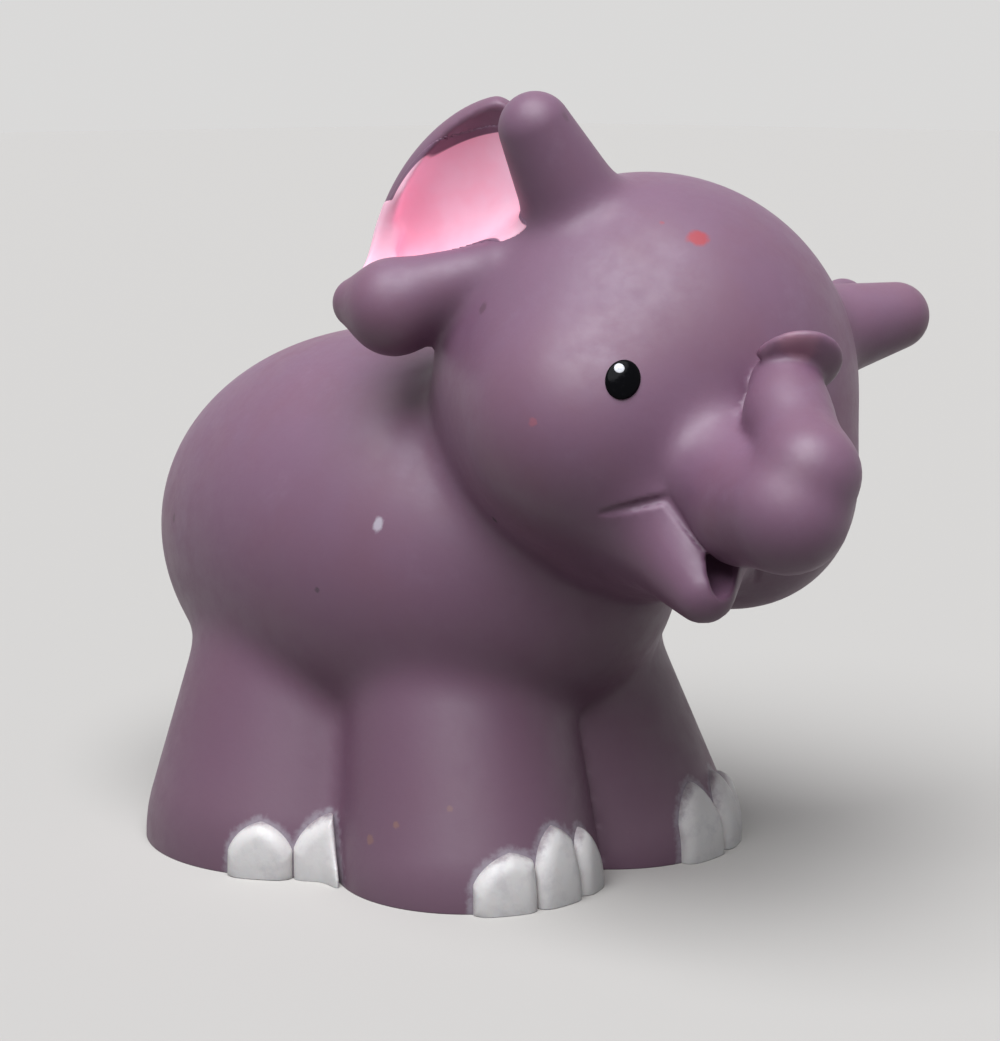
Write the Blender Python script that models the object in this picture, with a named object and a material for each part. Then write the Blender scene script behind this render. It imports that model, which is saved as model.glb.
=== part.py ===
# Toy elephant figure: a hollow soft vinyl skin, cast in one piece with its head turned
# and tilted, a snap-in plate that closes the casting hole under it, and the painted
# places (eyes, ear linings, toenails), each a thin solid that lies in its own recess.
# Metres, +Z up. The toy faces -Y and stands on Z = 0, and its own left is +X.
# The origin is the middle of the plate's flat underside.
# Names that end in share or shares are fractions of the size that carries the thing.

import math

import bmesh
import bpy
from mathutils import Matrix, Vector
from mathutils.bvhtree import BVHTree

for old in list(bpy.data.objects):
    bpy.data.objects.remove(old)

# Walls and clearances
WALL = 0.0024
CLEARANCE = 0.0003
OVERRUN = 0.003

# Torso: an egg that lies along Y
TORSO_LENGTH = 0.0642
TORSO_WIDTH = 0.0458
TORSO_HEIGHT = 0.0446
TORSO_CENTRE_HEIGHT = 0.030
TORSO_SET_BACK = 0.007

# Legs: four flared lobes, grown together in the middle
FRONT_FOOT_RADIUS = 0.0131
FRONT_LEG_TOP_RADIUS = 0.0108
REAR_FOOT_RADIUS = 0.0169
REAR_LEG_TOP_RADIUS = 0.0134
LEG_HEIGHT = 0.024
MIDDLE_RADIUS = 0.0100
LEG_BLEND = 0.004
BELLY_BLEND = 0.003
MIDDLE_SET_BACK_SHARE = -0.25
FRONT_FOOT_SHARES = (0.43, -0.60)
FRONT_LEG_TOP_SHARES = (0.24, -0.39)
REAR_FOOT_SHARES = (0.53, 0.10)
REAR_LEG_TOP_SHARES = (0.27, 0.15)

# Head: a ball with full cheeks, turned to the toy's right and tilted to its left.
# Everything on it is placed and sized by its radius.
HEAD_RADIUS = 0.0204
HEAD_TURN = math.radians(-17)
HEAD_TILT = math.radians(25)
HEAD_CENTRE_SHARES = (0.13, -0.95, 0.83)
NECK_BLEND = 0.004
CHEEK_BLEND = 0.006
CHEEK_SHARES = ((0.441, -0.412, -0.304), 0.539)

# Every ball of the head is a centre and a radius, and every egg a centre and three radii.
# Trunk: a fat muzzle that sags, bends up at its end and rises against the face to a visor
MUZZLE_BLEND = 0.005
SNOUT_BLEND = 0.0008
TUBE_BLEND = 0.0009
TUBE_BEND_BLEND = 0.002
TIP_BLEND = 0.0008
MUZZLE_SHARES = ((0, -0.637, -0.270), 0.333)
SNOUT_SHARES = ((0, -1.011, -0.341), 0.265)
UNDERSIDE_SHARES = ((0, -1.219, -0.442), 0.228)
BEND_SHARES = ((0, -1.516, -0.396), 0.242)
TUBE_BASE_SHARES = ((0, -1.540, -0.217), 0.210)
TUBE_MIDDLE_SHARES = ((0, -1.240, 0.004), 0.180)
TUBE_TOP_SHARES = ((0, -1.135, 0.135), 0.160)
TIP_SHARES = ((0, -1.140, 0.232), (0.198, 0.215, 0.055))
TIP_HOLLOW_SHARES = ((0, -1.120, 0.300), (0.140, 0.130, 0.050))
TIP_FOOT_SHARE = 0.045
TIP_AXES = ((1, 0, 0), (0, -0.718, 0.696), (0, 0.696, 0.718))

# Lower jaw: a pointed lip under the trunk, with a mouth down its front and a smile crease
JAW_BLEND = 0.006
MOUTH_BLEND = 0.0008
SMILE_BLEND = 0.0004
CREASE_BLEND = 0.00025
JAW_SHARES = ((0, -0.539, -0.417), 0.456)
LIP_SHARES = ((0, -1.137, -0.819), 0.142)
MOUTH_SHARES = ((0, -1.209, -0.628), (0.085, 0.220, 0.170))
MOUTH_AXES = ((1, 0, 0), (0, -0.715, -0.699), (0, -0.699, 0.715))
SMILE_SHARES = (
    ((0.436, -0.838, -0.672), 0.012), ((0.352, -0.929, -0.592), 0.022), ((0.272, -1.005, -0.515), 0.028),
    ((0.170, -1.098, -0.602), 0.018), ((0.100, -1.173, -0.654), 0.016))

# Ears: a flat egg that a long cup hollows, with a fat roll in front, a thin edge behind
# and a fat lip below
EAR_BLEND = 0.003
EAR_ROLL_BLEND = 0.0015
EAR_RIM_BLEND = 0.001
EAR_ROLL_ROOT_SHARES = ((0.662, -0.095, 0.530), 0.252)
EAR_ROLL_TOP_SHARES = ((1.094, -0.118, 0.824), 0.166)
EAR_LIP_ROOT_SHARES = ((0.923, 0.061, 0.191), 0.128)
EAR_LIP_MIDDLE_SHARES = ((1.182, 0.374, -0.123), 0.216)
EAR_LIP_TIP_SHARES = ((1.281, 0.539, -0.159), 0.124)
EAR_EDGE_TOP_SHARES = ((1.164, 0.772, 0.237), 0.050)
EAR_EDGE_LOW_SHARES = ((1.231, 0.676, -0.017), 0.055)
EAR_BACK_SHARES = ((0.990, 0.402, 0.412), (0.647, 0.441, 0.191))
EAR_CUP_SHARES = ((1.098, 0.111, 0.661), (0.818, 0.311, 0.205))
EAR_OPENING_SHARES = ((1.334, 0.470, 0.141), 0.290)
EAR_REACH_SHARE = 0.522
EAR_LONG_WAY = Vector((-0.04, -0.52, 0.855))
EAR_MOUTH_WAY = Vector((0.84, -0.48, -0.25))
CUP_LONG_WAY = Vector((0.025, -0.760, 0.650))
CUP_MOUTH_WAY = Vector((0.855, -0.321, -0.408))

# Painted places
EYE_WIDTH = 0.0031
EYE_HEIGHT = 0.0037
EYE_THICKNESS = 0.0018
EYE_SHARES = (0.569, -0.815, -0.105)
EYE_SUNK_SHARE = 0.5
GLINT_DIAMETER = 0.0010
GLINT_THICKNESS = 0.0006
GLINT_PLACE_SHARES = (-0.46, 0.34)
LINING_THICKNESS = 0.0009
LINING_MARGIN = 0.0013
LINING_SHARES = ((0.924, 0.123, 0.185), 0.669)
NAIL_HEIGHT = 0.0100
NAIL_THICKNESS = 0.0024
FRONT_NAIL_WIDTH = 0.0051
REAR_NAIL_WIDTH = 0.0057
NAIL_MIDDLE_HEIGHT = 0.0014
NAIL_SUNK_SHARE = 0.3
NAIL_ANGLES = {
    "front_right": {"outer": -27, "middle": -2, "inner": 21},
    "front_left": {"outer": 52, "middle": 28, "inner": 4},
    "rear_right": {"outer": -56, "inner": -32},
    "rear_left": {"outer": 56, "inner": 32},
}
NAIL_HEIGHT_SHARES = {"outer": 0.88, "middle": 1, "inner": 0.94}

# Plate that closes the hole under the belly
PLATE_LENGTH = 0.0240
PLATE_WIDTH = 0.0180
FLANGE_LIP = 0.0010
FLANGE_THICKNESS = 0.0012

# Fineness of the meshes
PLATE_SIDES = 48
EGG_SIDES = 16
EGG_RINGS = 8
GLINT_SIDES = 12
GLINT_RINGS = 6
SKIN_CELL = 0.0009
HOLLOW_CELL = 0.0016
LINING_CELL = 0.0004
SKIN_KEPT_SHARE = 0.075
HOLLOW_KEPT_SHARE = 0.10
LINING_KEPT_SHARE = 0.05
SMALLEST_SHARE = 0.01

# Colours and how rough each finish is
VINYL = (0.31, 0.20, 0.31, 1)
VINYL_ROUGHNESS = 0.45
PINK = (0.85, 0.36, 0.44, 1)
PINK_ROUGHNESS = 0.5
BLACK = (0.005, 0.005, 0.007, 1)
BLACK_ROUGHNESS = 0.12
WHITE = (0.80, 0.78, 0.75, 1)
WHITE_ROUGHNESS = 0.35
PLATE_GREY = (0.16, 0.11, 0.16, 1)
PLATE_ROUGHNESS = 0.5


def material(name, colour, roughness):
    made = bpy.data.materials.new(name)
    made.use_nodes = True
    shader = made.node_tree.nodes["Principled BSDF"]
    shader.inputs["Base Color"].default_value = colour
    shader.inputs["Roughness"].default_value = roughness
    shader.inputs["Metallic"].default_value = 0
    return made


def scaled(shares, size):
    return Vector(shares) * size


TORSO_RADII = Vector((TORSO_WIDTH, TORSO_LENGTH, TORSO_HEIGHT)) / 2
TORSO_CENTRE = Vector((0, TORSO_SET_BACK, TORSO_CENTRE_HEIGHT))
HEAD_CENTRE = TORSO_CENTRE + TORSO_RADII * Vector(HEAD_CENTRE_SHARES)
HEAD_AXES = (Matrix.Rotation(HEAD_TURN, 3, "Z") @ Matrix.Rotation(HEAD_TILT, 3, "Y"))


def beside_torso(shares, height):
    """A point of a leg's middle line on the toy's left, at a height above the floor."""
    x_share, y_share = shares
    return Vector((TORSO_RADII.x * x_share, TORSO_CENTRE.y + TORSO_RADII.y * y_share, height))


def in_head(shares):
    """A place or a set of radii in the head's own frame, as shares of the head's radius."""
    return scaled(shares, HEAD_RADIUS)


def between(space, pair, start, end):
    """A limb between two balls of the head, each given as the shares of a centre and a radius."""
    start_place, start_radius = start
    end_place, end_radius = end
    return space.limb(
        pair, in_head(start_place), in_head(end_place), start_radius * HEAD_RADIUS, end_radius * HEAD_RADIUS)


def chain(space, pair, balls, fillet):
    """Limbs from ball to ball, with a fillet where two of them meet."""
    limbs = [between(space, pair, start, end) for start, end in zip(balls, balls[1:])]
    form = limbs[0]
    for limb in limbs[1:]:
        form = space.blend(form, limb, fillet)
    return form


def head_ball(space, pair, shares):
    place, radius = shares
    return space.ball(pair, in_head(place), radius * HEAD_RADIUS)


def head_egg(space, pair, shares, axes):
    place, radii = shares
    return space.egg(pair, in_head(place), in_head(radii), axes)


def beyond(space, pair, place, way, share):
    """How far a point lies past a flat face, which stands a share out from a place of the head."""
    away = space.vector("SUBTRACT", pair, tuple(in_head(place)))
    return space.grown(space.along(away, way), share * HEAD_RADIUS)


def from_head(place):
    """The world point of a place in the head's own frame."""
    return HEAD_CENTRE + HEAD_AXES @ place


def side_axes(long_way, out_way):
    """Three axes: along, across and outwards, from a long way and an outward way."""
    along = long_way.normalized()
    outwards = (out_way - along * out_way.dot(along)).normalized()
    return along, outwards.cross(along), outwards


EAR_AXES = side_axes(EAR_LONG_WAY, EAR_MOUTH_WAY)
CUP_AXES = side_axes(CUP_LONG_WAY, CUP_MOUTH_WAY)


class Space:
    """A node tree whose values are worked out at every point of space.

    A form is the distance to its surface: negative inside, positive outside.
    """

    def __init__(self, name):
        self.tree = bpy.data.node_groups.new(name, "GeometryNodeTree")
        self.point = self.tree.nodes.new("GeometryNodeInputPosition").outputs[0]

    def feed(self, socket, value):
        if isinstance(value, bpy.types.NodeSocket):
            self.tree.links.new(value, socket)
        else:
            socket.default_value = value

    def number(self, operation, *values, clamped=False):
        node = self.tree.nodes.new("ShaderNodeMath")
        node.operation = operation
        node.use_clamp = clamped
        for socket, value in zip(node.inputs, values):
            self.feed(socket, value)
        return node.outputs["Value"]

    def vector(self, operation, *values, result="Vector"):
        node = self.tree.nodes.new("ShaderNodeVectorMath")
        node.operation = operation
        for socket, value in zip(node.inputs, values):
            self.feed(socket, value)
        return node.outputs[result]

    def length(self, vector):
        return self.vector("LENGTH", vector, result="Value")

    def along(self, vector, way):
        return self.vector("DOT_PRODUCT", vector, tuple(way), result="Value")

    def joined(self, x, y, z):
        node = self.tree.nodes.new("ShaderNodeCombineXYZ")
        for socket, value in zip(node.inputs, (x, y, z)):
            self.feed(socket, value)
        return node.outputs[0]

    def mirrored(self, point):
        """The same place on the left side, so that one form makes a pair."""
        node = self.tree.nodes.new("ShaderNodeSeparateXYZ")
        self.feed(node.inputs[0], point)
        x, y, z = node.outputs
        return self.joined(self.number("ABSOLUTE", x), y, z)

    def framed(self, point, centre, axes):
        """The point as seen from a frame at centre whose axes are the matrix's columns."""
        away = self.vector("SUBTRACT", point, tuple(centre))
        return self.joined(*(self.along(away, axis) for axis in Matrix(axes).transposed()))

    def ball(self, point, centre, radius):
        away = self.vector("SUBTRACT", point, tuple(centre))
        return self.number("SUBTRACT", self.length(away), radius)

    def egg(self, point, centre, radii, axes=((1, 0, 0), (0, 1, 0), (0, 0, 1))):
        away = self.vector("SUBTRACT", point, tuple(centre))
        once = [self.along(away, Vector(axis) / radius) for axis, radius in zip(axes, radii)]
        twice = [self.along(away, Vector(axis) / radius ** 2) for axis, radius in zip(axes, radii)]
        near = self.number("MAXIMUM", self.length(self.joined(*once)), SMALLEST_SHARE)
        steep = self.number("MAXIMUM", self.length(self.joined(*twice)), SMALLEST_SHARE / max(radii))
        inside = self.number("MULTIPLY", near, self.number("SUBTRACT", near, 1))
        return self.number("DIVIDE", inside, steep)

    def limb(self, point, start, end, start_radius, end_radius):
        """Two balls and the cone that touches both of them."""
        run = Vector(end) - Vector(start)
        slimmer = start_radius - end_radius
        slant = slimmer / math.sqrt(run.length_squared - slimmer ** 2)
        away = self.vector("SUBTRACT", point, tuple(start))
        line = run.normalized()
        height = self.along(away, line)
        off_line = self.length(self.vector("CROSS_PRODUCT", away, tuple(line)))
        ball_height = self.number("MULTIPLY_ADD", off_line, -slant, height)
        share = self.number("DIVIDE", ball_height, run.length, clamped=True)
        on_line = self.joined(*(self.number("MULTIPLY", share, part) for part in run))
        radius = self.number("MULTIPLY_ADD", share, -slimmer, start_radius)
        return self.number("SUBTRACT", self.length(self.vector("SUBTRACT", away, on_line)), radius)

    def blend(self, one, other, fillet):
        return self.number("SMOOTH_MIN", one, other, fillet)

    def carve(self, form, cutter, fillet):
        return self.number("SMOOTH_MAX", form, self.number("MULTIPLY", cutter, -1), fillet)

    def overlap(self, *forms):
        shared = forms[0]
        for form in forms[1:]:
            shared = self.number("MAXIMUM", shared, form)
        return shared

    def above(self, height):
        return self.number("SUBTRACT", height, self.along(self.point, (0, 0, 1)))

    def grown(self, form, amount):
        return self.number("SUBTRACT", form, amount)

    def outside(self, form):
        return self.number("MULTIPLY", form, -1)

    def mesh(self, form, low, high, cell):
        """The form's surface, first on a grid of cells and then moved onto the form."""
        nodes = self.tree.nodes
        self.tree.interface.new_socket("Mesh", in_out="OUTPUT", socket_type="NodeSocketGeometry")
        cube = nodes.new("GeometryNodeVolumeCube")
        self.feed(cube.inputs["Density"], self.outside(form))
        cube.inputs["Background"].default_value = -cell
        cube.inputs["Min"].default_value = low
        cube.inputs["Max"].default_value = high
        for axis, start, end in zip("XYZ", low, high):
            cube.inputs["Resolution " + axis].default_value = math.ceil((end - start) / cell) + 1
        surface = nodes.new("GeometryNodeVolumeToMesh")
        surface.inputs["Threshold"].default_value = 0
        self.feed(surface.inputs["Volume"], cube.outputs[0])
        normal = nodes.new("GeometryNodeInputNormal").outputs[0]
        snap = nodes.new("ShaderNodeVectorMath")
        snap.operation = "SCALE"
        self.feed(snap.inputs[0], normal)
        self.feed(snap.inputs["Scale"], self.outside(form))
        moved = nodes.new("GeometryNodeSetPosition")
        self.feed(moved.inputs["Geometry"], surface.outputs[0])
        self.feed(moved.inputs["Offset"], snap.outputs["Vector"])
        smooth = nodes.new("GeometryNodeSetShadeSmooth")
        self.feed(smooth.inputs["Geometry"], moved.outputs[0])
        out = nodes.new("NodeGroupOutput")
        self.feed(out.inputs["Mesh"], smooth.outputs[0])
        seed = bpy.data.objects.new("form", bpy.data.meshes.new("form"))
        bpy.context.scene.collection.objects.link(seed)
        seed.modifiers.new("form", "NODES").node_group = self.tree
        bpy.context.view_layer.update()
        made = bpy.data.meshes.new_from_object(seed.evaluated_get(bpy.context.evaluated_depsgraph_get()))
        bpy.data.objects.remove(seed)
        keep_largest(made)
        return made


def keep_largest(mesh):
    """Drop the crumbs that a grid leaves beyond a form's thin edges."""
    form = bmesh.new()
    form.from_mesh(mesh)
    left = set(form.verts)
    bodies = []
    while left:
        body, edge_of_body = set(), [left.pop()]
        while edge_of_body:
            vertex = edge_of_body.pop()
            body.add(vertex)
            near = {edge.other_vert(vertex) for edge in vertex.link_edges} & left
            left -= near
            edge_of_body.extend(near)
        bodies.append(body)
    largest = max(bodies, key=len)
    crumbs = [vertex for vertex in form.verts if vertex not in largest]
    bmesh.ops.delete(form, geom=crumbs, context="VERTS")
    form.to_mesh(mesh)
    form.free()


def torso_and_legs(space):
    point = space.point
    pair = space.mirrored(point)
    torso = space.egg(point, TORSO_CENTRE, TORSO_RADII)
    front = space.limb(
        pair, beside_torso(FRONT_FOOT_SHARES, 0), beside_torso(FRONT_LEG_TOP_SHARES, LEG_HEIGHT),
        FRONT_FOOT_RADIUS, FRONT_LEG_TOP_RADIUS)
    rear = space.limb(
        pair, beside_torso(REAR_FOOT_SHARES, 0), beside_torso(REAR_LEG_TOP_SHARES, LEG_HEIGHT),
        REAR_FOOT_RADIUS, REAR_LEG_TOP_RADIUS)
    set_back = TORSO_RADII.y * MIDDLE_SET_BACK_SHARE
    middle = space.limb(
        pair, TORSO_CENTRE + Vector((0, set_back, -TORSO_CENTRE.z)), TORSO_CENTRE + Vector((0, set_back, 0)),
        MIDDLE_RADIUS, MIDDLE_RADIUS)
    legs = space.blend(space.blend(front, rear, LEG_BLEND), middle, LEG_BLEND)
    return space.blend(torso, legs, BELLY_BLEND)


def ear_cup(space, pair):
    return head_egg(space, pair, EAR_CUP_SHARES, CUP_AXES)


def ear_back(space, pair):
    """The back wall of an ear, before its cup is cut."""
    place, _ = EAR_BACK_SHARES
    top = beyond(space, pair, place, EAR_AXES[0], EAR_REACH_SHARE)
    return space.number("SMOOTH_MAX", head_egg(space, pair, EAR_BACK_SHARES, EAR_AXES), top, EAR_RIM_BLEND)


def ear_lip(space, pair):
    balls = (EAR_LIP_ROOT_SHARES, EAR_LIP_MIDDLE_SHARES, EAR_LIP_TIP_SHARES)
    return chain(space, pair, balls, EAR_ROLL_BLEND)


def ear_roll(space, pair):
    return between(space, pair, EAR_ROLL_ROOT_SHARES, EAR_ROLL_TOP_SHARES)


def ear_edge(space, pair):
    return between(space, pair, EAR_EDGE_TOP_SHARES, EAR_EDGE_LOW_SHARES)


def ears(space, pair):
    cupped = space.carve(ear_back(space, pair), ear_cup(space, pair), EAR_RIM_BLEND)
    rolled = space.blend(cupped, ear_roll(space, pair), EAR_ROLL_BLEND)
    edged = space.blend(rolled, ear_edge(space, pair), EAR_ROLL_BLEND)
    opened = space.carve(edged, head_ball(space, pair, EAR_OPENING_SHARES), EAR_RIM_BLEND)
    return space.blend(opened, ear_lip(space, pair), EAR_ROLL_BLEND)


def tube(space, pair):
    """The part of the trunk that rises from the bend, with the visor at its tip."""
    rising = chain(space, pair, (TUBE_BASE_SHARES, TUBE_MIDDLE_SHARES, TUBE_TOP_SHARES), TUBE_BEND_BLEND)
    rising = space.blend(rising, between(space, pair, BEND_SHARES, TUBE_BASE_SHARES), TUBE_BEND_BLEND)
    place, _ = TIP_SHARES
    foot = beyond(space, pair, place, -Vector(TIP_AXES[1]), TIP_FOOT_SHARE)
    visor = space.number("SMOOTH_MAX", head_egg(space, pair, TIP_SHARES, TIP_AXES), foot, TIP_BLEND)
    return space.blend(rising, visor, TIP_BLEND)


def jaw(space, pair):
    return between(space, pair, JAW_SHARES, LIP_SHARES)


def skull(space, pair):
    ball = space.ball(pair, (0, 0, 0), HEAD_RADIUS)
    return space.blend(ball, head_ball(space, pair, CHEEK_SHARES), CHEEK_BLEND)


def muzzle(space, pair):
    top = chain(space, pair, (MUZZLE_SHARES, SNOUT_SHARES, BEND_SHARES), SNOUT_BLEND)
    sagging = chain(space, pair, (SNOUT_SHARES, UNDERSIDE_SHARES, BEND_SHARES), SNOUT_BLEND)
    return space.blend(top, sagging, TUBE_BEND_BLEND)


def head(space, pair):
    bare = skull(space, pair)
    upper = space.blend(bare, muzzle(space, pair), MUZZLE_BLEND)
    lower = space.blend(bare, jaw(space, pair), JAW_BLEND)
    lower = space.carve(lower, head_egg(space, pair, MOUTH_SHARES, MOUTH_AXES), MOUTH_BLEND)
    form = space.blend(upper, lower, CREASE_BLEND)
    form = space.carve(form, chain(space, pair, SMILE_SHARES, SMILE_BLEND), SMILE_BLEND)
    form = space.blend(form, tube(space, pair), TUBE_BLEND)
    form = space.carve(form, head_egg(space, pair, TIP_HOLLOW_SHARES, TIP_AXES), TIP_BLEND)
    return space.blend(form, ears(space, pair), EAR_BLEND)


def head_pair(space):
    return space.mirrored(space.framed(space.point, HEAD_CENTRE, HEAD_AXES))


def figure(space):
    form = space.blend(torso_and_legs(space), head(space, head_pair(space)), NECK_BLEND)
    return space.overlap(form, space.above(-OVERRUN))


def core(space):
    """The figure without its ears, jaw and trunk tube, which the vinyl fills solid."""
    pair = head_pair(space)
    bare = space.blend(skull(space, pair), muzzle(space, pair), MUZZLE_BLEND)
    return space.blend(torso_and_legs(space), bare, NECK_BLEND)


def figure_box():
    """The lowest and highest corners that the toy stays within."""
    reach = HEAD_RADIUS * 2
    low = Vector((
        min(-TORSO_RADII.x, HEAD_CENTRE.x - reach) - OVERRUN,
        min(TORSO_CENTRE.y - TORSO_RADII.y, HEAD_CENTRE.y - reach) - OVERRUN,
        -OVERRUN * 2))
    high = Vector((
        max(TORSO_RADII.x, HEAD_CENTRE.x + reach) + OVERRUN,
        TORSO_CENTRE.y + TORSO_RADII.y + OVERRUN,
        HEAD_CENTRE.z + reach + OVERRUN))
    return low, high


def add(name, mesh, finish=None):
    piece = bpy.data.objects.new(name, mesh)
    bpy.context.scene.collection.objects.link(piece)
    if finish:
        mesh.materials.clear()
        mesh.materials.append(finish)
    return piece


def cutter(name, mesh):
    tool = add(name, mesh)
    tool.hide_render = True
    tool.display_type = "WIRE"
    return tool


def thin_out(piece, kept_share):
    thinner = piece.modifiers.new("fewer faces", "DECIMATE")
    thinner.ratio = kept_share


def cut(piece, tools):
    """Cut a piece by all its cutters at once."""
    group = bpy.data.collections.new(piece.name + " cutters")
    bpy.context.scene.collection.children.link(group)
    for tool in tools:
        bpy.context.scene.collection.objects.unlink(tool)
        group.objects.link(tool)
    boolean = piece.modifiers.new("cuts", "BOOLEAN")
    boolean.operation = "DIFFERENCE"
    boolean.operand_type = "COLLECTION"
    boolean.collection = group


def floor_cutter(name):
    """A block under the floor, wider than the toy."""
    low, high = figure_box()
    corners = [
        (x, y, z) for z in (low.z - OVERRUN, 0)
        for x, y in ((low.x, low.y), (high.x, low.y), (high.x, high.y), (low.x, high.y))]
    faces = [(3, 2, 1, 0), (4, 5, 6, 7), (0, 1, 5, 4), (1, 2, 6, 5), (2, 3, 7, 6), (3, 0, 4, 7)]
    mesh = bpy.data.meshes.new(name)
    mesh.from_pydata(corners, [], faces)
    return cutter(name, mesh)


def egg_mesh(name, radii, place, axes, around, rings):
    """A closed egg whose three axes are given, at a place in the world."""
    rows = []
    for ring in range(1, rings):
        tilt = math.pi * ring / rings
        rows.append([
            (math.sin(tilt) * math.cos(2 * math.pi * turn / around),
             math.sin(tilt) * math.sin(2 * math.pi * turn / around), math.cos(tilt))
            for turn in range(around)])
    points = [(0, 0, 1)] + [point for row in rows for point in row] + [(0, 0, -1)]
    last = len(points) - 1
    faces = []
    for turn in range(around):
        after = (turn + 1) % around
        faces.append((0, 1 + turn, 1 + after))
        for ring in range(rings - 2):
            start = 1 + ring * around
            faces.append((start + turn, start + around + turn, start + around + after, start + after))
        start = 1 + (rings - 2) * around
        faces.append((start + turn, last, start + after))
    frame = Matrix(axes).transposed()
    places = [place + frame @ (Vector(point) * Vector(radii)) for point in points]
    mesh = bpy.data.meshes.new(name)
    mesh.from_pydata(places, [], faces)
    mesh.shade_smooth()
    return mesh


def oval_mesh(name, sections):
    """A turned oval: each section is its width, its length and its height."""
    points, faces = [], []
    for width, length, height in sections:
        for side in range(PLATE_SIDES):
            turn = 2 * math.pi * side / PLATE_SIDES
            points.append((width / 2 * math.cos(turn), length / 2 * math.sin(turn), height))
    for ring in range(len(sections) - 1):
        start = ring * PLATE_SIDES
        for side in range(PLATE_SIDES):
            after = (side + 1) % PLATE_SIDES
            above = start + PLATE_SIDES
            faces.append((start + side, start + after, above + after, above + side))
    faces.append(tuple(reversed(range(PLATE_SIDES))))
    faces.append(tuple(range(len(points) - PLATE_SIDES, len(points))))
    mesh = bpy.data.meshes.new(name)
    mesh.from_pydata(points, [], faces)
    return mesh


class Surface:
    """The skin as it stands before anything is cut from it, to set pieces on."""

    def __init__(self, piece):
        bpy.context.view_layer.update()
        self.tree = BVHTree.FromObject(piece, bpy.context.evaluated_depsgraph_get())

    def seen_from(self, start, way):
        """The first place and outward way that a ray from outside meets."""
        place, normal, _, _ = self.tree.ray_cast(start, way.normalized())
        return place, normal


def make_skin():
    space = Space("skin form")
    low, high = figure_box()
    vinyl = material("purple vinyl", VINYL, VINYL_ROUGHNESS)
    skin = add("body_skin", space.mesh(figure(space), low, high, SKIN_CELL), vinyl)
    thin_out(skin, SKIN_KEPT_SHARE)
    return skin


def make_hollow():
    space = Space("hollow form")
    low, high = figure_box()
    inside = space.overlap(space.grown(core(space), -WALL), space.above(WALL))
    hollow = cutter("hollow", space.mesh(inside, low, high, HOLLOW_CELL))
    thin_out(hollow, HOLLOW_KEPT_SHARE)
    return hollow


def make_lining(side, grow, kept_name):
    """One ear's pink floor, or with grow its recess, which opens into the cup."""
    space = Space(kept_name + " form")
    local = space.framed(space.point, HEAD_CENTRE, HEAD_AXES)
    pair = space.mirrored(local)
    cup = ear_cup(space, pair)
    layer = space.overlap(space.grown(cup, LINING_THICKNESS + grow), space.grown(space.outside(cup), grow))
    inside_back = space.grown(ear_back(space, pair), grow - LINING_MARGIN)
    painted = space.grown(head_ball(space, pair, LINING_SHARES), grow)
    beside = [
        space.grown(space.outside(form), grow) for form in (
            ear_lip(space, pair), ear_roll(space, pair), ear_edge(space, pair),
            head_ball(space, pair, EAR_OPENING_SHARES))]
    form = space.overlap(layer, inside_back, painted, *beside)
    (x_share, y_share, z_share), radii = EAR_BACK_SHARES
    reach = max(in_head(radii)) + OVERRUN
    centre = from_head(in_head((x_share * side, y_share, z_share)))
    corner = Vector((reach, reach, reach))
    return space.mesh(form, centre - corner, centre + corner, LINING_CELL)


def upright_axes(outwards, upright):
    """Across, outwards and up, for something that lies on a surface."""
    outwards = outwards.normalized()
    up = (upright - outwards * upright.dot(outwards)).normalized()
    return outwards.cross(up), outwards, up


def egg(name, radii, centre, axes, finish, around=EGG_SIDES, rings=EGG_RINGS):
    """An egg, and the recess that it lies in with its clearance."""
    grown = tuple(radius + CLEARANCE for radius in radii)
    recess = cutter(name + "_recess", egg_mesh(name + "_recess", grown, centre, axes, around, rings))
    return add(name, egg_mesh(name, radii, centre, axes, around, rings), finish), recess


def make_eyes(surface):
    """The eyes, each with its painted glint. Returns the recesses they need."""
    black = material("black paint", BLACK, BLACK_ROUGHNESS)
    white = material("white paint", WHITE, WHITE_ROUGHNESS)
    radii = Vector((EYE_WIDTH, EYE_THICKNESS, EYE_HEIGHT)) / 2
    glint_radii = Vector((GLINT_DIAMETER, GLINT_THICKNESS, GLINT_DIAMETER)) / 2
    recesses = []
    for side, word in ((-1, "right"), (1, "left")):
        x_share, y_share, z_share = EYE_SHARES
        way = HEAD_AXES @ Vector((x_share * side, y_share, z_share))
        place, outwards = surface.seen_from(HEAD_CENTRE + way * HEAD_RADIUS * 2, -way)
        axes = upright_axes(outwards, HEAD_AXES.col[2])
        across, out, up = axes
        centre = place - out * radii.y * EYE_SUNK_SHARE
        eye, recess = egg("eye_" + word, radii, centre, axes, black)
        recesses.append(recess)
        across_share, up_share = GLINT_PLACE_SHARES
        out_share = math.sqrt(1 - across_share ** 2 - up_share ** 2)
        spot = radii * Vector((across_share * side, out_share, up_share))
        spot = centre + across * spot.x + out * spot.y + up * spot.z
        _, glint_recess = egg("eye_glint_" + word, glint_radii, spot, axes, white, GLINT_SIDES, GLINT_RINGS)
        cut(eye, [glint_recess])
    return recesses


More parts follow.
